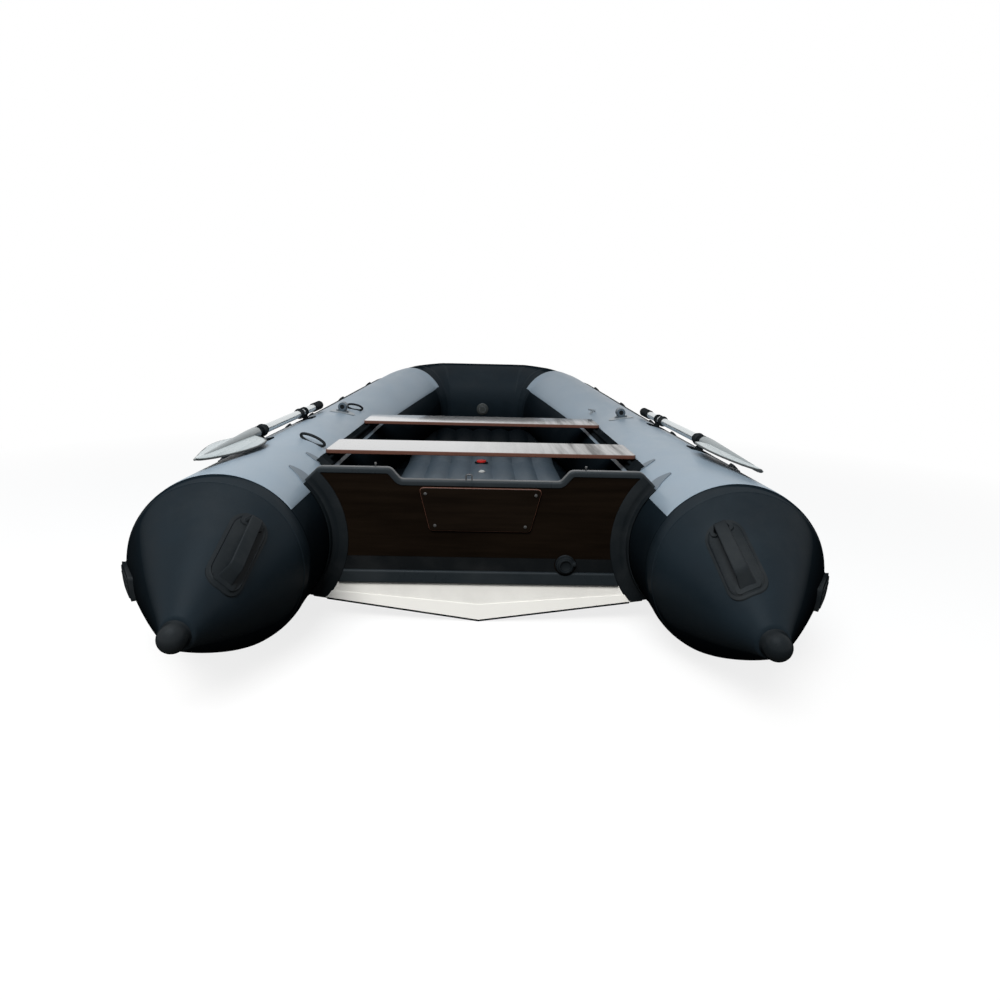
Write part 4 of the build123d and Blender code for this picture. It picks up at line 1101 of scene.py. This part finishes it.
class BOAT_OT_strake(bpy.types.Operator):
    """Rub strake, its moulded ends and the cones' caps"""
    bl_idname = "boat.strake"
    bl_label = "Strake and caps"
    bl_options = {"REGISTER", "UNDO"}

    def execute(self, context):
        surface, finish = hull_surface(context), materials(context)
        settle(strake("strake_profile", surface), finish["rubber"], ["rub_strake"])
        place = skin_place(surface, -0.055, surface.z.strake_turn)
        outline = rounded_rect(0.108, 0.056, 0.008, 5)
        end = disc_patch("strake_end_starboard", place, outline, 0.0115, 6, angle=30)
        grooves = []
        for v in (-0.018, -0.006, 0.006, 0.018):
            rib = ((v - 0.0035, 0.0110), (v - 0.002, 0.0136), (v + 0.002, 0.0136), (v + 0.0035, 0.0110))
            rows = [[place(u, *point) for point in rib] for u in np.linspace(-0.046, 0.046, 9)]
            grooves.append(swept("rib", rows, angle=30))
        settle_pair(joined("strake_end_starboard", [end] + grooves), finish["rubber"],
                    ["strake_ends"])
        settle_pair(cone_cap("cone_cap_starboard", surface), finish["rubber"], ["cone_caps"])
        return {"FINISHED"}


class BOAT_OT_handles(bpy.types.Operator):
    """Grab handles on the cones and the bow"""
    bl_idname = "boat.handles"
    bl_label = "Handles"
    bl_options = {"REGISTER", "UNDO"}

    def execute(self, context):
        surface, finish = hull_surface(context), materials(context)
        for side, share, turn, twist in HANDLES:
            place = skin_place(surface, -share * surface.cone, math.radians(turn), math.radians(twist))
            handle = grab_handle("cone_handle_" + side, place)
            if side == "port":
                handle = on_port(handle, "cone_handle_port_side")
            settle(handle, finish["rubber"], ["stern_handle_" + side])
        place = skin_place(surface, surface.half, math.radians(42))
        settle(grab_handle("bow_handle_grip", place), finish["rubber"], ["bow_handle"])
        return {"FINISHED"}


class BOAT_OT_finishes(bpy.types.Operator):
    """Finishes of the solids that keep their shape"""
    bl_idname = "boat.finishes"
    bl_label = "Finishes"
    bl_options = {"REGISTER", "UNDO"}

    def execute(self, context):
        finish = materials(context)
        slots = {
            "black_fabric": "black", "grey_fabric": "grey", "white_fabric": "white", "floor_fabric": "floor",
            "black_rubber": "rubber", "black_plastic": "plastic", "grey_plastic": "grey_plastic",
            "red_plastic": "red", "blade_plastic": "blade", "film_plywood": "board", "aluminium": "aluminium",
            "steel": "steel", "rope": "rope",
        }
        # The lower seal takes the lighter Trim Rubber, a painted highlight on its bulge; the upper seal takes
        # the darker Seal Rubber, painted shade.
        own = {"transom_v_band": "white_band", "oar_clips": "rubber", "upper_seal": "seal",
               "lower_seal": "trim", "transom_edging": "seal"}
        for entry in frame["record"]["subparts"]:
            name = entry["node"]
            paint(frame["nodes"][name], finish[own.get(name, slots[entry["material_slot"]])])
        return {"FINISHED"}


class BOAT_OT_transom(bpy.types.Operator):
    """Transom's trim, motor pads with their screws, holders, drain valve and pins"""
    bl_idname = "boat.transom"
    bl_label = "Transom"
    bl_options = {"REGISTER", "UNDO"}

    def execute(self, context):
        surface, finish = hull_surface(context), materials(context)
        z = context.scene.boat_transom
        self.trim(z, finish)
        self.pads(z, finish)
        self.holders(z, surface, finish)
        self.foot(z, finish)
        self.drain(z, finish)
        self.pins(z, finish)
        return {"FINISHED"}

    def trim(self, z, finish):
        """Rubber channel over the board's upper edge, from wing to wing through the notch."""
        half = [(z.wing_out + 0.035, z.top - 0.035), (z.wing_out, z.top), (z.wing_in, z.top),
                (z.notch, z.low)]
        path = rounded_path(half + [(-x, h) for x, h in reversed(half)], 0.020)
        thick = z.board + 0.006
        section = [(-0.0120, -thick / 2 + 0.0012), (-0.0108, -thick / 2)]
        for k in range(7):
            turn = math.radians(90 * k / 6)
            section.append((-0.0035 + 0.0072 * math.sin(turn), -thick / 2 + 0.0075 * (1 - math.cos(turn))))
        section.append((0.0045, 0.0))
        section += [(n, -y) for n, y in reversed(section[:-1])]
        y_mid = z.face + z.board / 2
        sections = [[(x + th * n, y_mid + y, h - tx * n) for n, y in section]
                    for (x, h), (tx, th) in with_direction(path)]
        settle(swept("trim_profile", sections, angle=30), finish["trim"], ["transom_trim"])

    def pads(self, z, finish):
        """Motor pads on both faces, with their screws."""
        outline = rounded_corners(mm((-166, 378), (-136, 259), (136, 259), (166, 378)), 0.012)
        profile = mm((6, -1), (6, 0.6), (5.2, 1.9), (3, 2.6), (1.8, 2.6), (1.4, 1.4), (0.1, 1.4))
        screw = turned("screw", at_origin, profile, 14)
        spots = []
        for name, y, ahead in (("aft", z.face - PROUD, -1), ("fore", z.face + z.board + PROUD, 1)):
            place = local((0, y, 0), (-ahead, 0, 0), (0, ahead, 0))
            pad = prism("motor_pad_" + name + "_board", outline, place, 0.0, 0.009, 0.0028, 3)
            edge_painted(pad, (0, 1, 0), finish["pad"], finish["plies"])
            settle(pad, None, ["motor_pad_" + name])
            for x, h in ((0.148, 0.361), (-0.148, 0.361), (0.122, 0.274), (-0.122, 0.274)):
                spots.append((place(x, h, 0.009), (1, 0, 0), (0, ahead, 0)))
        settle(repeated("pad_screws", screw, spots, finish["dull_steel"], 0.8), None)

    def holders(self, z, surface, finish):
        """Rubber angles between the board and the tube, and the grey tongues at their tops."""
        inner = surface.z.tube_radius + 0.0021
        top, bottom, low = math.radians(134.6), math.radians(228), math.radians(208)
        profile = mm((0.3, 23.5), (1, 24), (3, 24), (3.6, 23), (4, 8), (5.5, 5), (9, 3.7), (20, 3.4),
                     (22.5, 4), (25, 3.4), (44, 3.3), (46.2, 2.4), (47, 0.8))
        pieces = []
        for face, ahead, end in ((z.face - PROUD, -1, bottom), (z.face + z.board + PROUD, 1, low)):
            rows, under = [], []
            for turn in np.linspace(top, end, 60):
                row, under_row = [], []
                for reach, h in profile:
                    r = inner + reach
                    x = surface.z.tube_x + r * math.cos(turn)
                    height = max(surface.z.axis_z + r * math.sin(turn), 0.0055 + DEADRISE * x)
                    row.append((x, face + ahead * h, height))
                    under_row.append((x, face, height))
                rows.append(row)
                under.append(under_row)
            pieces.append(slab("angle", rows, under, angle=35))
        leaf = mm((-24, -4), (-20, 6), (-13, 14), (-4, 22), (5, 33), (14, 45), (21, 54), (27, 60), (34, 63),
                  (40, 61), (46, 53), (53, 40), (58, 29), (60, 20), (60, 8), (56, -4))
        place = skin_place(surface, TRANSOM_IN, top)
        outline = [(u, -v) for u, v in leaf]
        tongue = disc_patch("transom_tongue_starboard", place, outline, 0.0046, 6, angle=60)
        settle_pair(tongue, finish["leaf"])
        settle_pair(joined("transom_angle_starboard", pieces), finish["rubber"],
                    ["transom_holder_starboard", "transom_holder_port"])

    def foot(self, z, finish):
        """Dark bead along the foot's lower edge, a painted shadow line under the bottom, and the small
        patches at its ends.
        """
        edge = [(x, z.face - 0.0012, 0.0042 + DEADRISE * abs(x))
                for x in (-0.4535, -0.2, -0.004, 0.004, 0.2, 0.4535)]
        # The bead in the darkest rubber is a painted shadow line under the bottom.
        settle(pipe("foot_bead", edge, 0.0025, 8), finish["seal"])
        place = local((0, z.face - 0.0022, 0), z_axis=AFT)
        outline = mm((424, 67.5), (409, 80), (400, 64))
        corner = prism("foot_patch_starboard", outline, place, 0.0, 0.0008, 0.0002, 1)
        settle_pair(corner, finish["grey"])

    def drain(self, z, finish):
        """Drain valve with its tethered cap and ribbed rim."""
        place = local((0.235, z.face - PROUD, 0.168), z_axis=AFT)
        profile = mm((27, 0), (27.5, 1.5), (27.5, 4), (26.2, 5.2), (25.5, 6), (25, 8), (24.3, 13.8),
                     (20.5, 15), (20, 20.5), (18.8, 22), (16, 22.2), (14.6, 20.5), (13.8, 16), (12, 15.2),
                     (0.1, 15))
        body = turned("drain_body", place, profile, 40)
        cap_place = local(place(0.023, 0.006, 0.010), z_axis=AFT)
        profile = mm((7, 0), (7.2, 3), (6.8, 9), (5.5, 12.5), (2.5, 14), (0.1, 14.2))
        cap = turned("drain_cap", cap_place, profile, 20)
        settle(joined("drain_fitting", [body, cap]), finish["plastic"], ["drain_valve"])
        rib = turned("rib", at_origin, mm((1.2, 0), (1.2, 4.5), (0.7, 5.2), (0.1, 5.4)), 6)
        spots = [(place(0.0242 * math.cos(t), 0.0242 * math.sin(t), 0.0088), (1, 0, 0), (0, -1, 0))
                 for t in turns(24) if not 0.05 < t < 0.8]
        settle(repeated("drain_ribs", rib, spots, finish["plastic"]), None)

    def pins(self, z, finish):
        """Two upright pins on the wings and a wire staple on the trim."""
        y = z.face + z.board + 0.0059
        pin = mm((2.2, 0), (2.2, 24.5), (3.1, 25), (3.4, 28.5), (2.4, 30), (0.1, 30.2))
        pieces = [turned("pin", local((x, y, z.top - 0.018)), pin, 14) for x in (-0.285, 0.285)]
        wire = mm((-40, 397), (-40, 408.5), (-37, 411.5), (-27, 411.5), (-24, 408.5), (-24, 397))
        y = z.face + 0.010
        pieces.append(pipe("staple", [(x, y, h) for x, h in wire], 0.0019, 10))
        settle(joined("transom_pins", pieces), finish["dull_steel"], ["transom_eyes"])


class BOAT_OT_benches(bpy.types.Operator):
    """Bench boards of film-faced plywood, strap loops and the cleat"""
    bl_idname = "boat.benches"
    bl_label = "Benches"
    bl_options = {"REGISTER", "UNDO"}

    def execute(self, context):
        surface, finish = hull_surface(context), materials(context)
        for name in ("aft_bench", "fore_bench"):
            low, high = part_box(name)
            centre = [(a + b) / 2 for a, b in zip(low, high)]
            outline = rounded_rect(high[0] - low[0], high[1] - low[1], 0.014, 6)
            place = local((centre[0], centre[1], low[2]))
            board = prism(name + "_board", outline, place, 0.0, high[2] - low[2], 0.0022, 3)
            edge_painted(board, (0, 0, 1), finish["bench"], finish["plies"])
            settle(board, None, [name], name)
        loops = []
        for a, b in STRAP_LOOPS:
            a, b = Vector(a), Vector(b)
            lift = Vector((0.30, 0.1, 1)).normalized() * 0.0115
            middle, reach = (a + b) / 2 + lift * 0.5, (b - a) / 2
            path = [middle + reach * math.cos(t) + lift * math.sin(t) for t in turns(28)]
            loops.append(pipe("loop", path, 0.0046, 10, closed=True))
        settle(joined("strap_loops", loops), finish["rubber"])
        seat = skin_place(surface, *spot(*CLEAT))
        place = local(seat(0, 0, 0.0022), (1, 0.3, 0), (0.25, 0, 1))
        stem = turned("stem", place, mm((9, 0), (8.5, 2), (5, 4), (4.5, 18), (0.1, 18.5)), 16)
        ends = ((-0.017, 0.016), (-0.012, 0.0185), (0.012, 0.0185), (0.017, 0.016))
        bar = pipe("bar", [place(x, 0, h) for x, h in ends], 0.0042)
        settle(joined("bench_cleat", [stem, bar]), finish["grey_plastic"])
        return {"FINISHED"}


class BOAT_OT_rowlocks(bpy.types.Operator):
    """Rowlocks: a low round drum with a bore on a disc that turns on its base"""
    bl_idname = "boat.rowlocks"
    bl_label = "Rowlocks"
    bl_options = {"REGISTER", "UNDO"}

    def execute(self, context):
        surface, finish = hull_surface(context), materials(context)
        origin, out, along = surface.normal(*spot(*ROWLOCK))
        seat = origin + out * 0.0056
        place = local(seat, along, out)
        profile = mm((9, 0.2), (25.2, 0.2), (26, 1), (26, 2.4), (24.8, 3.4), (21, 3.8), (0.1, 4))
        disc = turned("disc", place, profile, 36)
        cheek = prism("cheek", rounded_rect(0.040, 0.030, 0.003, 3), place, 0.0030, 0.0115, 0.0012, 2)
        barrel = local(seat + out * 0.019 - along * 0.024, out, along)
        shell = mm((8.6, 0.6), (15, 0), (17.2, 1.2), (18, 4), (18, 12), (17.4, 13.5), (18, 15))
        shell += [(r, 0.048 - h) for r, h in reversed(shell)]
        drum = joined("rowlock_drum_starboard", [disc, cheek, turned("drum", barrel, shell + shell[:1], 32)])
        bush = mm((7.9, 0.2), (9.2, 0), (9.2, 0.8), (8.1, 1.2), (8.1, 46.8), (9.2, 47.2), (9.2, 48),
                  (7.9, 47.8))
        hole = turned("rowlock_bush_starboard", barrel, bush + bush[:1], 24)
        # The bore's lining is in the darkest rubber: painted shade in the bore.
        for piece, tint, gone in ((drum, "drum", True), (hole, "seal", False)):
            twin = mirrored(piece, piece.name.replace("starboard", "port"))
            for obj, body in ((piece, "rowlock_starboard"), (twin, "rowlock_port")):
                settle(obj, finish[tint], [body] if gone else (), body)
        return {"FINISHED"}


class BOAT_OT_valves(bpy.types.Operator):
    """Air valves of the bow, the side tubes and the floor"""
    bl_idname = "boat.valves"
    bl_label = "Valves"
    bl_options = {"REGISTER", "UNDO"}

    def execute(self, context):
        surface, finish = hull_surface(context), materials(context)
        ring = mm((33, -12), (33.8, 0), (33.8, 2), (31.5, 4.2), (26.5, 4.8), (25.2, 3), (24.4, 3),
                  (23.8, 8.5), (22, 10.5), (13, 11.2), (12, 9.5), (0.1, 9.5))
        turn = math.radians(-10)
        out = Vector((0, -math.cos(turn), math.sin(turn)))
        origin = Vector(surface.points[-1]) + out * (surface.z.tube_radius + PROUD)
        place = local(origin, (1, 0, 0), out)
        settle(turned("bow_valve_body", place, ring, 48), finish["valve"], ["bow_valve"])
        rib = turned("rib", at_origin, mm((1.4, 0), (1.4, 3), (0.1, 3.6)), 6)
        spots = [(place(x, y, 0.0090), (1, 0, 0), out) for x, y in ring_of(0.0180, 18)]
        settle(repeated("bow_valve_ribs", rib, spots, finish["grey_plastic"]), None)
        place = surface.frame_at(*spot(*SIDE_VALVE), PROUD)
        side = turned("side_valve_starboard", place, ring, 40)
        settle_pair(side, finish["grey_plastic"], ["side_valves"])
        low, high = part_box("floor_valve")
        place = local(((low[0] + high[0]) / 2, (low[1] + high[1]) / 2, low[2]))
        profile = mm((33.8, 0), (34, 2), (32.5, 3.8), (25.5, 4.2), (0.1, 4.2))
        flange = turned("floor_valve_flange", place, profile, 40)
        settle(flange, finish["plastic"])
        profile = mm((24, 3.6), (24.2, 10), (23, 12.8), (19, 13.8), (12, 13), (0.1, 13.4))
        cap = turned("floor_valve_cap", place, profile, 40)
        settle(cap, finish["red"], ["floor_valve"])
        place = local((0.0025, 0.385, high[2] - 0.0140))
        button = turned("floor_button", place, mm((16, 0), (16, 3), (12, 5), (8, 8.5), (0.1, 9)), 24)
        settle(button, finish["white_plastic"])
        return {"FINISHED"}


class BOAT_OT_oars(bpy.types.Operator):
    """Blades, grips and collars of the stowed oars"""
    bl_idname = "boat.oars"
    bl_label = "Oars"
    bl_options = {"REGISTER", "UNDO"}

    def execute(self, context):
        finish = materials(context)
        z = context.scene.boat_oars
        start = Vector((z.front_x, z.front_y, z.height))
        aft = (Vector((z.tip_x, z.tip_y, z.height)) - start).normalized()
        flat = -aft.cross(Vector((0, 0, 1)))
        place = local(start, flat, aft)
        total = (Vector((z.tip_x, z.tip_y, z.height)) - start).length
        for side, tilt in zip(("starboard", "port"), z.tilt):
            across = flat * math.cos(tilt) - Vector((0, 0, 1)) * math.sin(tilt)
            self.blade(z, local(start, across, aft), total - z.blade, side, finish)
        grip = mm((16.8, -18), (18, -16))
        for k in range(12):
            at = -0.012 + k * 0.0092
            grip += [(0.0178, at), (0.0165, at + 0.0018), (0.0165, at + 0.0062), (0.0178, at + 0.0080)]
        grip += mm((17.2, 101.2), (14.5, 102))
        grips = turned("oar_handle_starboard", place, [(0.0120, -0.0190)] + grip, 24)
        settle_pair(grips, finish["rubber"], ["oar_grips"])
        collar = mm((14.5, 0), (16.4, 0.8), (17, 4), (16.8, 17), (18, 18.5), (19.6, 20.5), (20, 23),
                    (19.6, 25.5), (18, 27.5), (16.8, 29), (17, 42), (16.2, 45.5), (14.5, 46))
        sleeves = [turned("sleeve", place, [(r, low + along) for r, along in collar], 32)
                   for low in z.collars]
        sleeves = joined("oar_sleeves_starboard", sleeves)
        settle_pair(sleeves, finish["rubber"], ["oar_collars"])
        return {"FINISHED"}

    def blade(self, z, place, begin, side, finish):
        """Spoon-like pointed blade with lengthwise ribs, a dark rim, a tapered spine and a socket."""
        rows, under, edges = [], [], ([], [])
        for t in np.linspace(0, 1, 44):
            half = float(np.interp(t, BLADE_LEAF[0], BLADE_LEAF[1])) * z.width / 2
            bend = -0.011 * math.sin(math.pi * t) ** 0.6
            row, under_row = [], []
            for u in np.linspace(-1, 1, 41):
                x = half * u
                dish = bend * u * u
                rib = 0.0016 * max(0.0, math.cos(x / 0.024 * math.tau)) ** 3
                rib *= min(1.0, 6 * t) * min(1.0, 6 * (1 - t))
                thin = 0.0022 if abs(u) < 0.97 else 0.0009
                row.append(place(x, dish + thin + rib, begin + z.blade * t))
                under_row.append(place(x, dish - thin - rib, begin + z.blade * t))
            rows.append(row)
            under.append(under_row)
            for edge, u in zip(edges, (-1, 1)):
                edge.append(place(half * u, bend, begin + z.blade * t))
        sheet = slab("oar_leaf_" + side, rows, under, angle=60)
        rim = pipe("oar_rim_" + side, edges[0] + edges[1][::-1][1:], 0.0028, 8)
        profile = mm((14.5, -70), (17.8, -69), (18.5, -62), (18, -10), (17.2, 20))
        profile += [(0.0165 - 0.0125 * k / 10, 0.040 + 0.033 * k) for k in range(11)] + [(0.0001, 0.374)]
        spine = turned("oar_spine_" + side, place, [(r, begin + along) for r, along in profile], 20)
        made = ((sheet, "blade", ["oar_blade_" + side]), (rim, "rim", []), (spine, "spine", []))
        for piece, tint, gone in made:
            if side == "port":
                piece = on_port(piece, piece.name)
            settle(piece, finish[tint], gone)


class BOAT_OT_lines(bpy.types.Operator):
    """Grab lines with their bridged patches, patches beside the benches and the tow ring"""
    bl_idname = "boat.lines"
    bl_label = "Lines and patches"
    bl_options = {"REGISTER", "UNDO"}

    def execute(self, context):
        surface, finish = hull_surface(context), materials(context)
        angle = surface.z.line_angle
        ys = surface.points[:, 1]
        start = TRANSOM_IN + 0.270
        end = float(np.interp(surface.z.bow_y - 0.118, ys, surface.run))
        line = self.rope("grab_rope_starboard", surface, start, end, angle)
        settle_pair(line, finish["rope"], ["grab_line_starboard", "grab_line_port"])
        panel = 0.0018
        radius = surface.z.tube_radius + panel

        def curved(u, v, h):
            turn = v / radius
            return (u, (radius + h) * math.sin(turn), (radius + h) * math.cos(turn) - radius)
        oval = [(0.046 * math.cos(t), 0.026 * math.sin(t)) for t in turns(32)]
        small = rounded_rect(0.044, 0.024, 0.0115, 5)
        shape = joined("holder_shape", [disc_patch("oval", curved, oval, 0.0034, 4),
                                        disc_patch("bridge", curved, small, 0.0195, 4, angle=70)])
        spots = []
        for place_y in LINE_HOLDERS:
            s = float(np.interp(surface.z.stern_y + TRANSOM_AHEAD + place_y, ys, surface.run))
            origin, out, along = surface.normal(s, angle)
            spots.append((origin + out * panel, along, out))
        holders = repeated("line_patches_starboard", shape, spots, finish["rubber"])
        settle_pair(holders, None, ["line_holders_starboard", "line_holders_port"])
        leaf = mm((-20, 0), (-20, 20), (-14, 40), (-5, 52), (5, 52), (14, 40), (20, 20), (20, 0))
        place = skin_place(surface, *spot(*BENCH_LEAF))
        patch = disc_patch("bench_leaf_starboard", place, [(u, -v) for u, v in leaf], 0.0045, 5, angle=60)
        settle_pair(patch, finish["leaf"])
        self.tow_ring(surface, finish)
        return {"FINISHED"}

    def rope(self, name, surface, start, end, angle):
        """Twisted line along the tube's shoulder."""
        count = int((end - start) / 0.010)
        sections = []
        for k in range(count + 1):
            s = start + (end - start) * k / count
            centre, out, forward = surface.normal(s, angle)
            centre = centre + out * 0.0138
            side = forward.cross(out)
            sections.append([centre + (out * math.cos(turn) + side * math.sin(turn))
                             * (0.0036 + 0.0006 * math.cos(3 * (turn - s * 95))) for turn in turns(15)])
        return swept(name, sections, angle=0)

    def tow_ring(self, surface, finish):
        """Patch under the bow with a lug and a ring."""
        turn = math.radians(38)
        out = Vector((0, math.cos(turn), -math.sin(turn)))
        origin = Vector(surface.points[-1]) + out * surface.z.tube_radius
        place = local(origin, (-1, 0, 0), out)
        patch = turned("patch", place, mm((43, -4), (44.5, 1.2), (43, 3), (32, 3.6), (18, 6), (0.1, 6.5)), 40)
        lug = disc_patch("lug", place, rounded_rect(0.030, 0.014, 0.0065, 4), 0.0155, 4, angle=60)
        settle(joined("tow_patch", [patch, lug]), finish["rubber"], ["tow_ring"])
        centre = [place(0, 0.014 * math.cos(t), 0.024 + 0.014 * math.sin(t)) for t in turns(32)]
        ring = pipe("tow_loop", centre, 0.003, 12, closed=True)
        settle(ring, finish["steel"])


class BOAT_OT_stage(bpy.types.Operator):
    """Floor, lamps, world and camera"""
    bl_idname = "boat.stage"
    bl_label = "Stage"
    bl_options = {"REGISTER", "UNDO"}

    def execute(self, context):
        scene = context.scene
        make_floor()
        make_world(scene)
        make_lamps()
        make_camera(scene)
        scene.view_settings.view_transform = "Standard"
        return {"FINISHED"}


def background_rays(tree):
    """One for rays that show the background: to the camera, in gloss and through glass."""
    path = node(tree, "ShaderNodeLightPath").outputs
    return combine(tree, "MAXIMUM", path["Is Camera Ray"],
                   combine(tree, "MAXIMUM", path["Is Glossy Ray"], path["Is Transmission Ray"]))


def make_floor():
    """Floor that the camera sees pale, keeping the boat's shadow, and plain white further out; to bounce
    light it is dark everywhere, and in reflections near the boat too: painted shade under the boat.
    """
    size = 40.0
    corners = [(x * size, y * size, -0.0005) for x, y in ((-1, -1), (1, -1), (1, 1), (-1, 1))]
    floor = new_mesh("floor", corners, [(0, 1, 2, 3)])
    material = bpy.data.materials.new("Studio Floor")
    material.use_nodes = True
    tree = material.node_tree
    tree.nodes.remove(tree.nodes["Principled BSDF"])
    coords = object_coords(tree)
    distance = node(tree, "ShaderNodeVectorMath", {0: coords}, operation="LENGTH").outputs["Value"]
    pale = node(tree, "ShaderNodeBsdfDiffuse", {"Color": (0.95, 0.95, 0.95)})
    plain = node(tree, "ShaderNodeEmission", {"Color": (1, 1, 1), "Strength": 1.0})
    # Dark floor for bounce light, and for reflections near the boat: painted shade under the boat.
    dark_floor = node(tree, "ShaderNodeBsdfDiffuse", {"Color": (0.12, 0.12, 0.115)})
    shown = either(tree, ramp(tree, distance, 1.2, 3.4, 0.80, 1.0), pale, plain)
    seen = combine(tree, "MAXIMUM", node(tree, "ShaderNodeLightPath").outputs["Is Camera Ray"],
                   times(tree, ramp(tree, distance, 2.6, 6.0), background_rays(tree)))
    fill(tree, tree.nodes["Material Output"], {"Surface": either(tree, seen, dark_floor, shown).outputs[0]})
    floor.data.materials.append(material)


def make_world(scene):
    """Soft daylight; white wherever the background itself shows."""
    scene.world = bpy.data.worlds.new("studio")
    scene.world.use_nodes = True
    tree = scene.world.node_tree
    back = tree.nodes["Background"]
    fill(tree, back, {"Color": (0.84, 0.93, 1.0), "Strength": 0.10})
    white = node(tree, "ShaderNodeBackground", {"Color": (1, 1, 1), "Strength": 1.0})
    shown = either(tree, background_rays(tree), back, white)
    fill(tree, tree.nodes["World Output"], {"Surface": shown.outputs[0]})


def make_lamps():
    for name, place, target, size, watts, tint, mirrored_in in LAMPS:
        data = bpy.data.lights.new(name, "AREA")
        data.shape = "RECTANGLE"
        data.size, data.size_y = size
        data.energy = watts
        data.color = tint
        lamp = bpy.data.objects.new(name, data)
        lamp.location = place
        lamp.rotation_euler = (Vector(target) - Vector(place)).to_track_quat("-Z", "Y").to_euler()
        lamp.visible_camera = False
        lamp.visible_glossy = mirrored_in
        bpy.context.scene.collection.objects.link(lamp)


def make_camera(scene):
    """Camera astern of the boat, a little above it, looking forward and slightly down."""
    data = bpy.data.cameras.new("camera")
    camera = bpy.data.objects.new("camera", data)
    bpy.context.scene.collection.objects.link(camera)
    yaw, pitch, roll = (math.radians(v) for v in CAMERA_TURN)
    ahead = Vector((math.sin(yaw) * math.cos(pitch), math.cos(yaw) * math.cos(pitch), math.sin(pitch)))
    level = Vector((math.cos(yaw), -math.sin(yaw), 0))
    up = level.cross(ahead)
    right = level * math.cos(roll) + up * math.sin(roll)
    top = up * math.cos(roll) - level * math.sin(roll)
    turn = Matrix((right, top, -ahead)).transposed()
    camera.matrix_world = Matrix.Translation(CAMERA) @ turn.to_4x4()
    data.sensor_width = 36.0
    data.lens = LENS
    data.clip_start = 0.05
    scene.camera = camera


class BOAT_PT_panel(bpy.types.Panel):
    """Lists the boat's pieces"""
    bl_idname = "BOAT_PT_panel"
    bl_label = "Inflatable Boat"
    bl_space_type = "VIEW_3D"
    bl_region_type = "UI"
    bl_category = "Boat"

    def draw(self, context):
        for operator in OPERATORS:
            self.layout.operator(operator.bl_idname)


OPERATORS = [
    BOAT_OT_finishes, BOAT_OT_stage, BOAT_OT_tubes, BOAT_OT_panels, BOAT_OT_strake, BOAT_OT_handles,
    BOAT_OT_transom, BOAT_OT_benches, BOAT_OT_rowlocks, BOAT_OT_valves, BOAT_OT_oars, BOAT_OT_lines,
]
GROUPS = {"boat_hull": BoatHullSizes, "boat_transom": BoatTransomSizes, "boat_oars": BoatOarSizes,
          "boat_colours": BoatColours}


def register():
    for item in [*GROUPS.values(), *OPERATORS, BOAT_PT_panel]:
        bpy.utils.register_class(item)
    for name, group in GROUPS.items():
        setattr(bpy.types.Scene, name, bpy.props.PointerProperty(type=group))


def unregister():
    for name in GROUPS:
        delattr(bpy.types.Scene, name)
    for item in reversed([*GROUPS.values(), *OPERATORS, BOAT_PT_panel]):
        bpy.utils.unregister_class(item)


def main():
    register()
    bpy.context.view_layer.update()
    for operator in OPERATORS:
        group, action = operator.bl_idname.split(".")
        getattr(getattr(bpy.ops, group), action)()


if __name__ == "__main__":
    main()
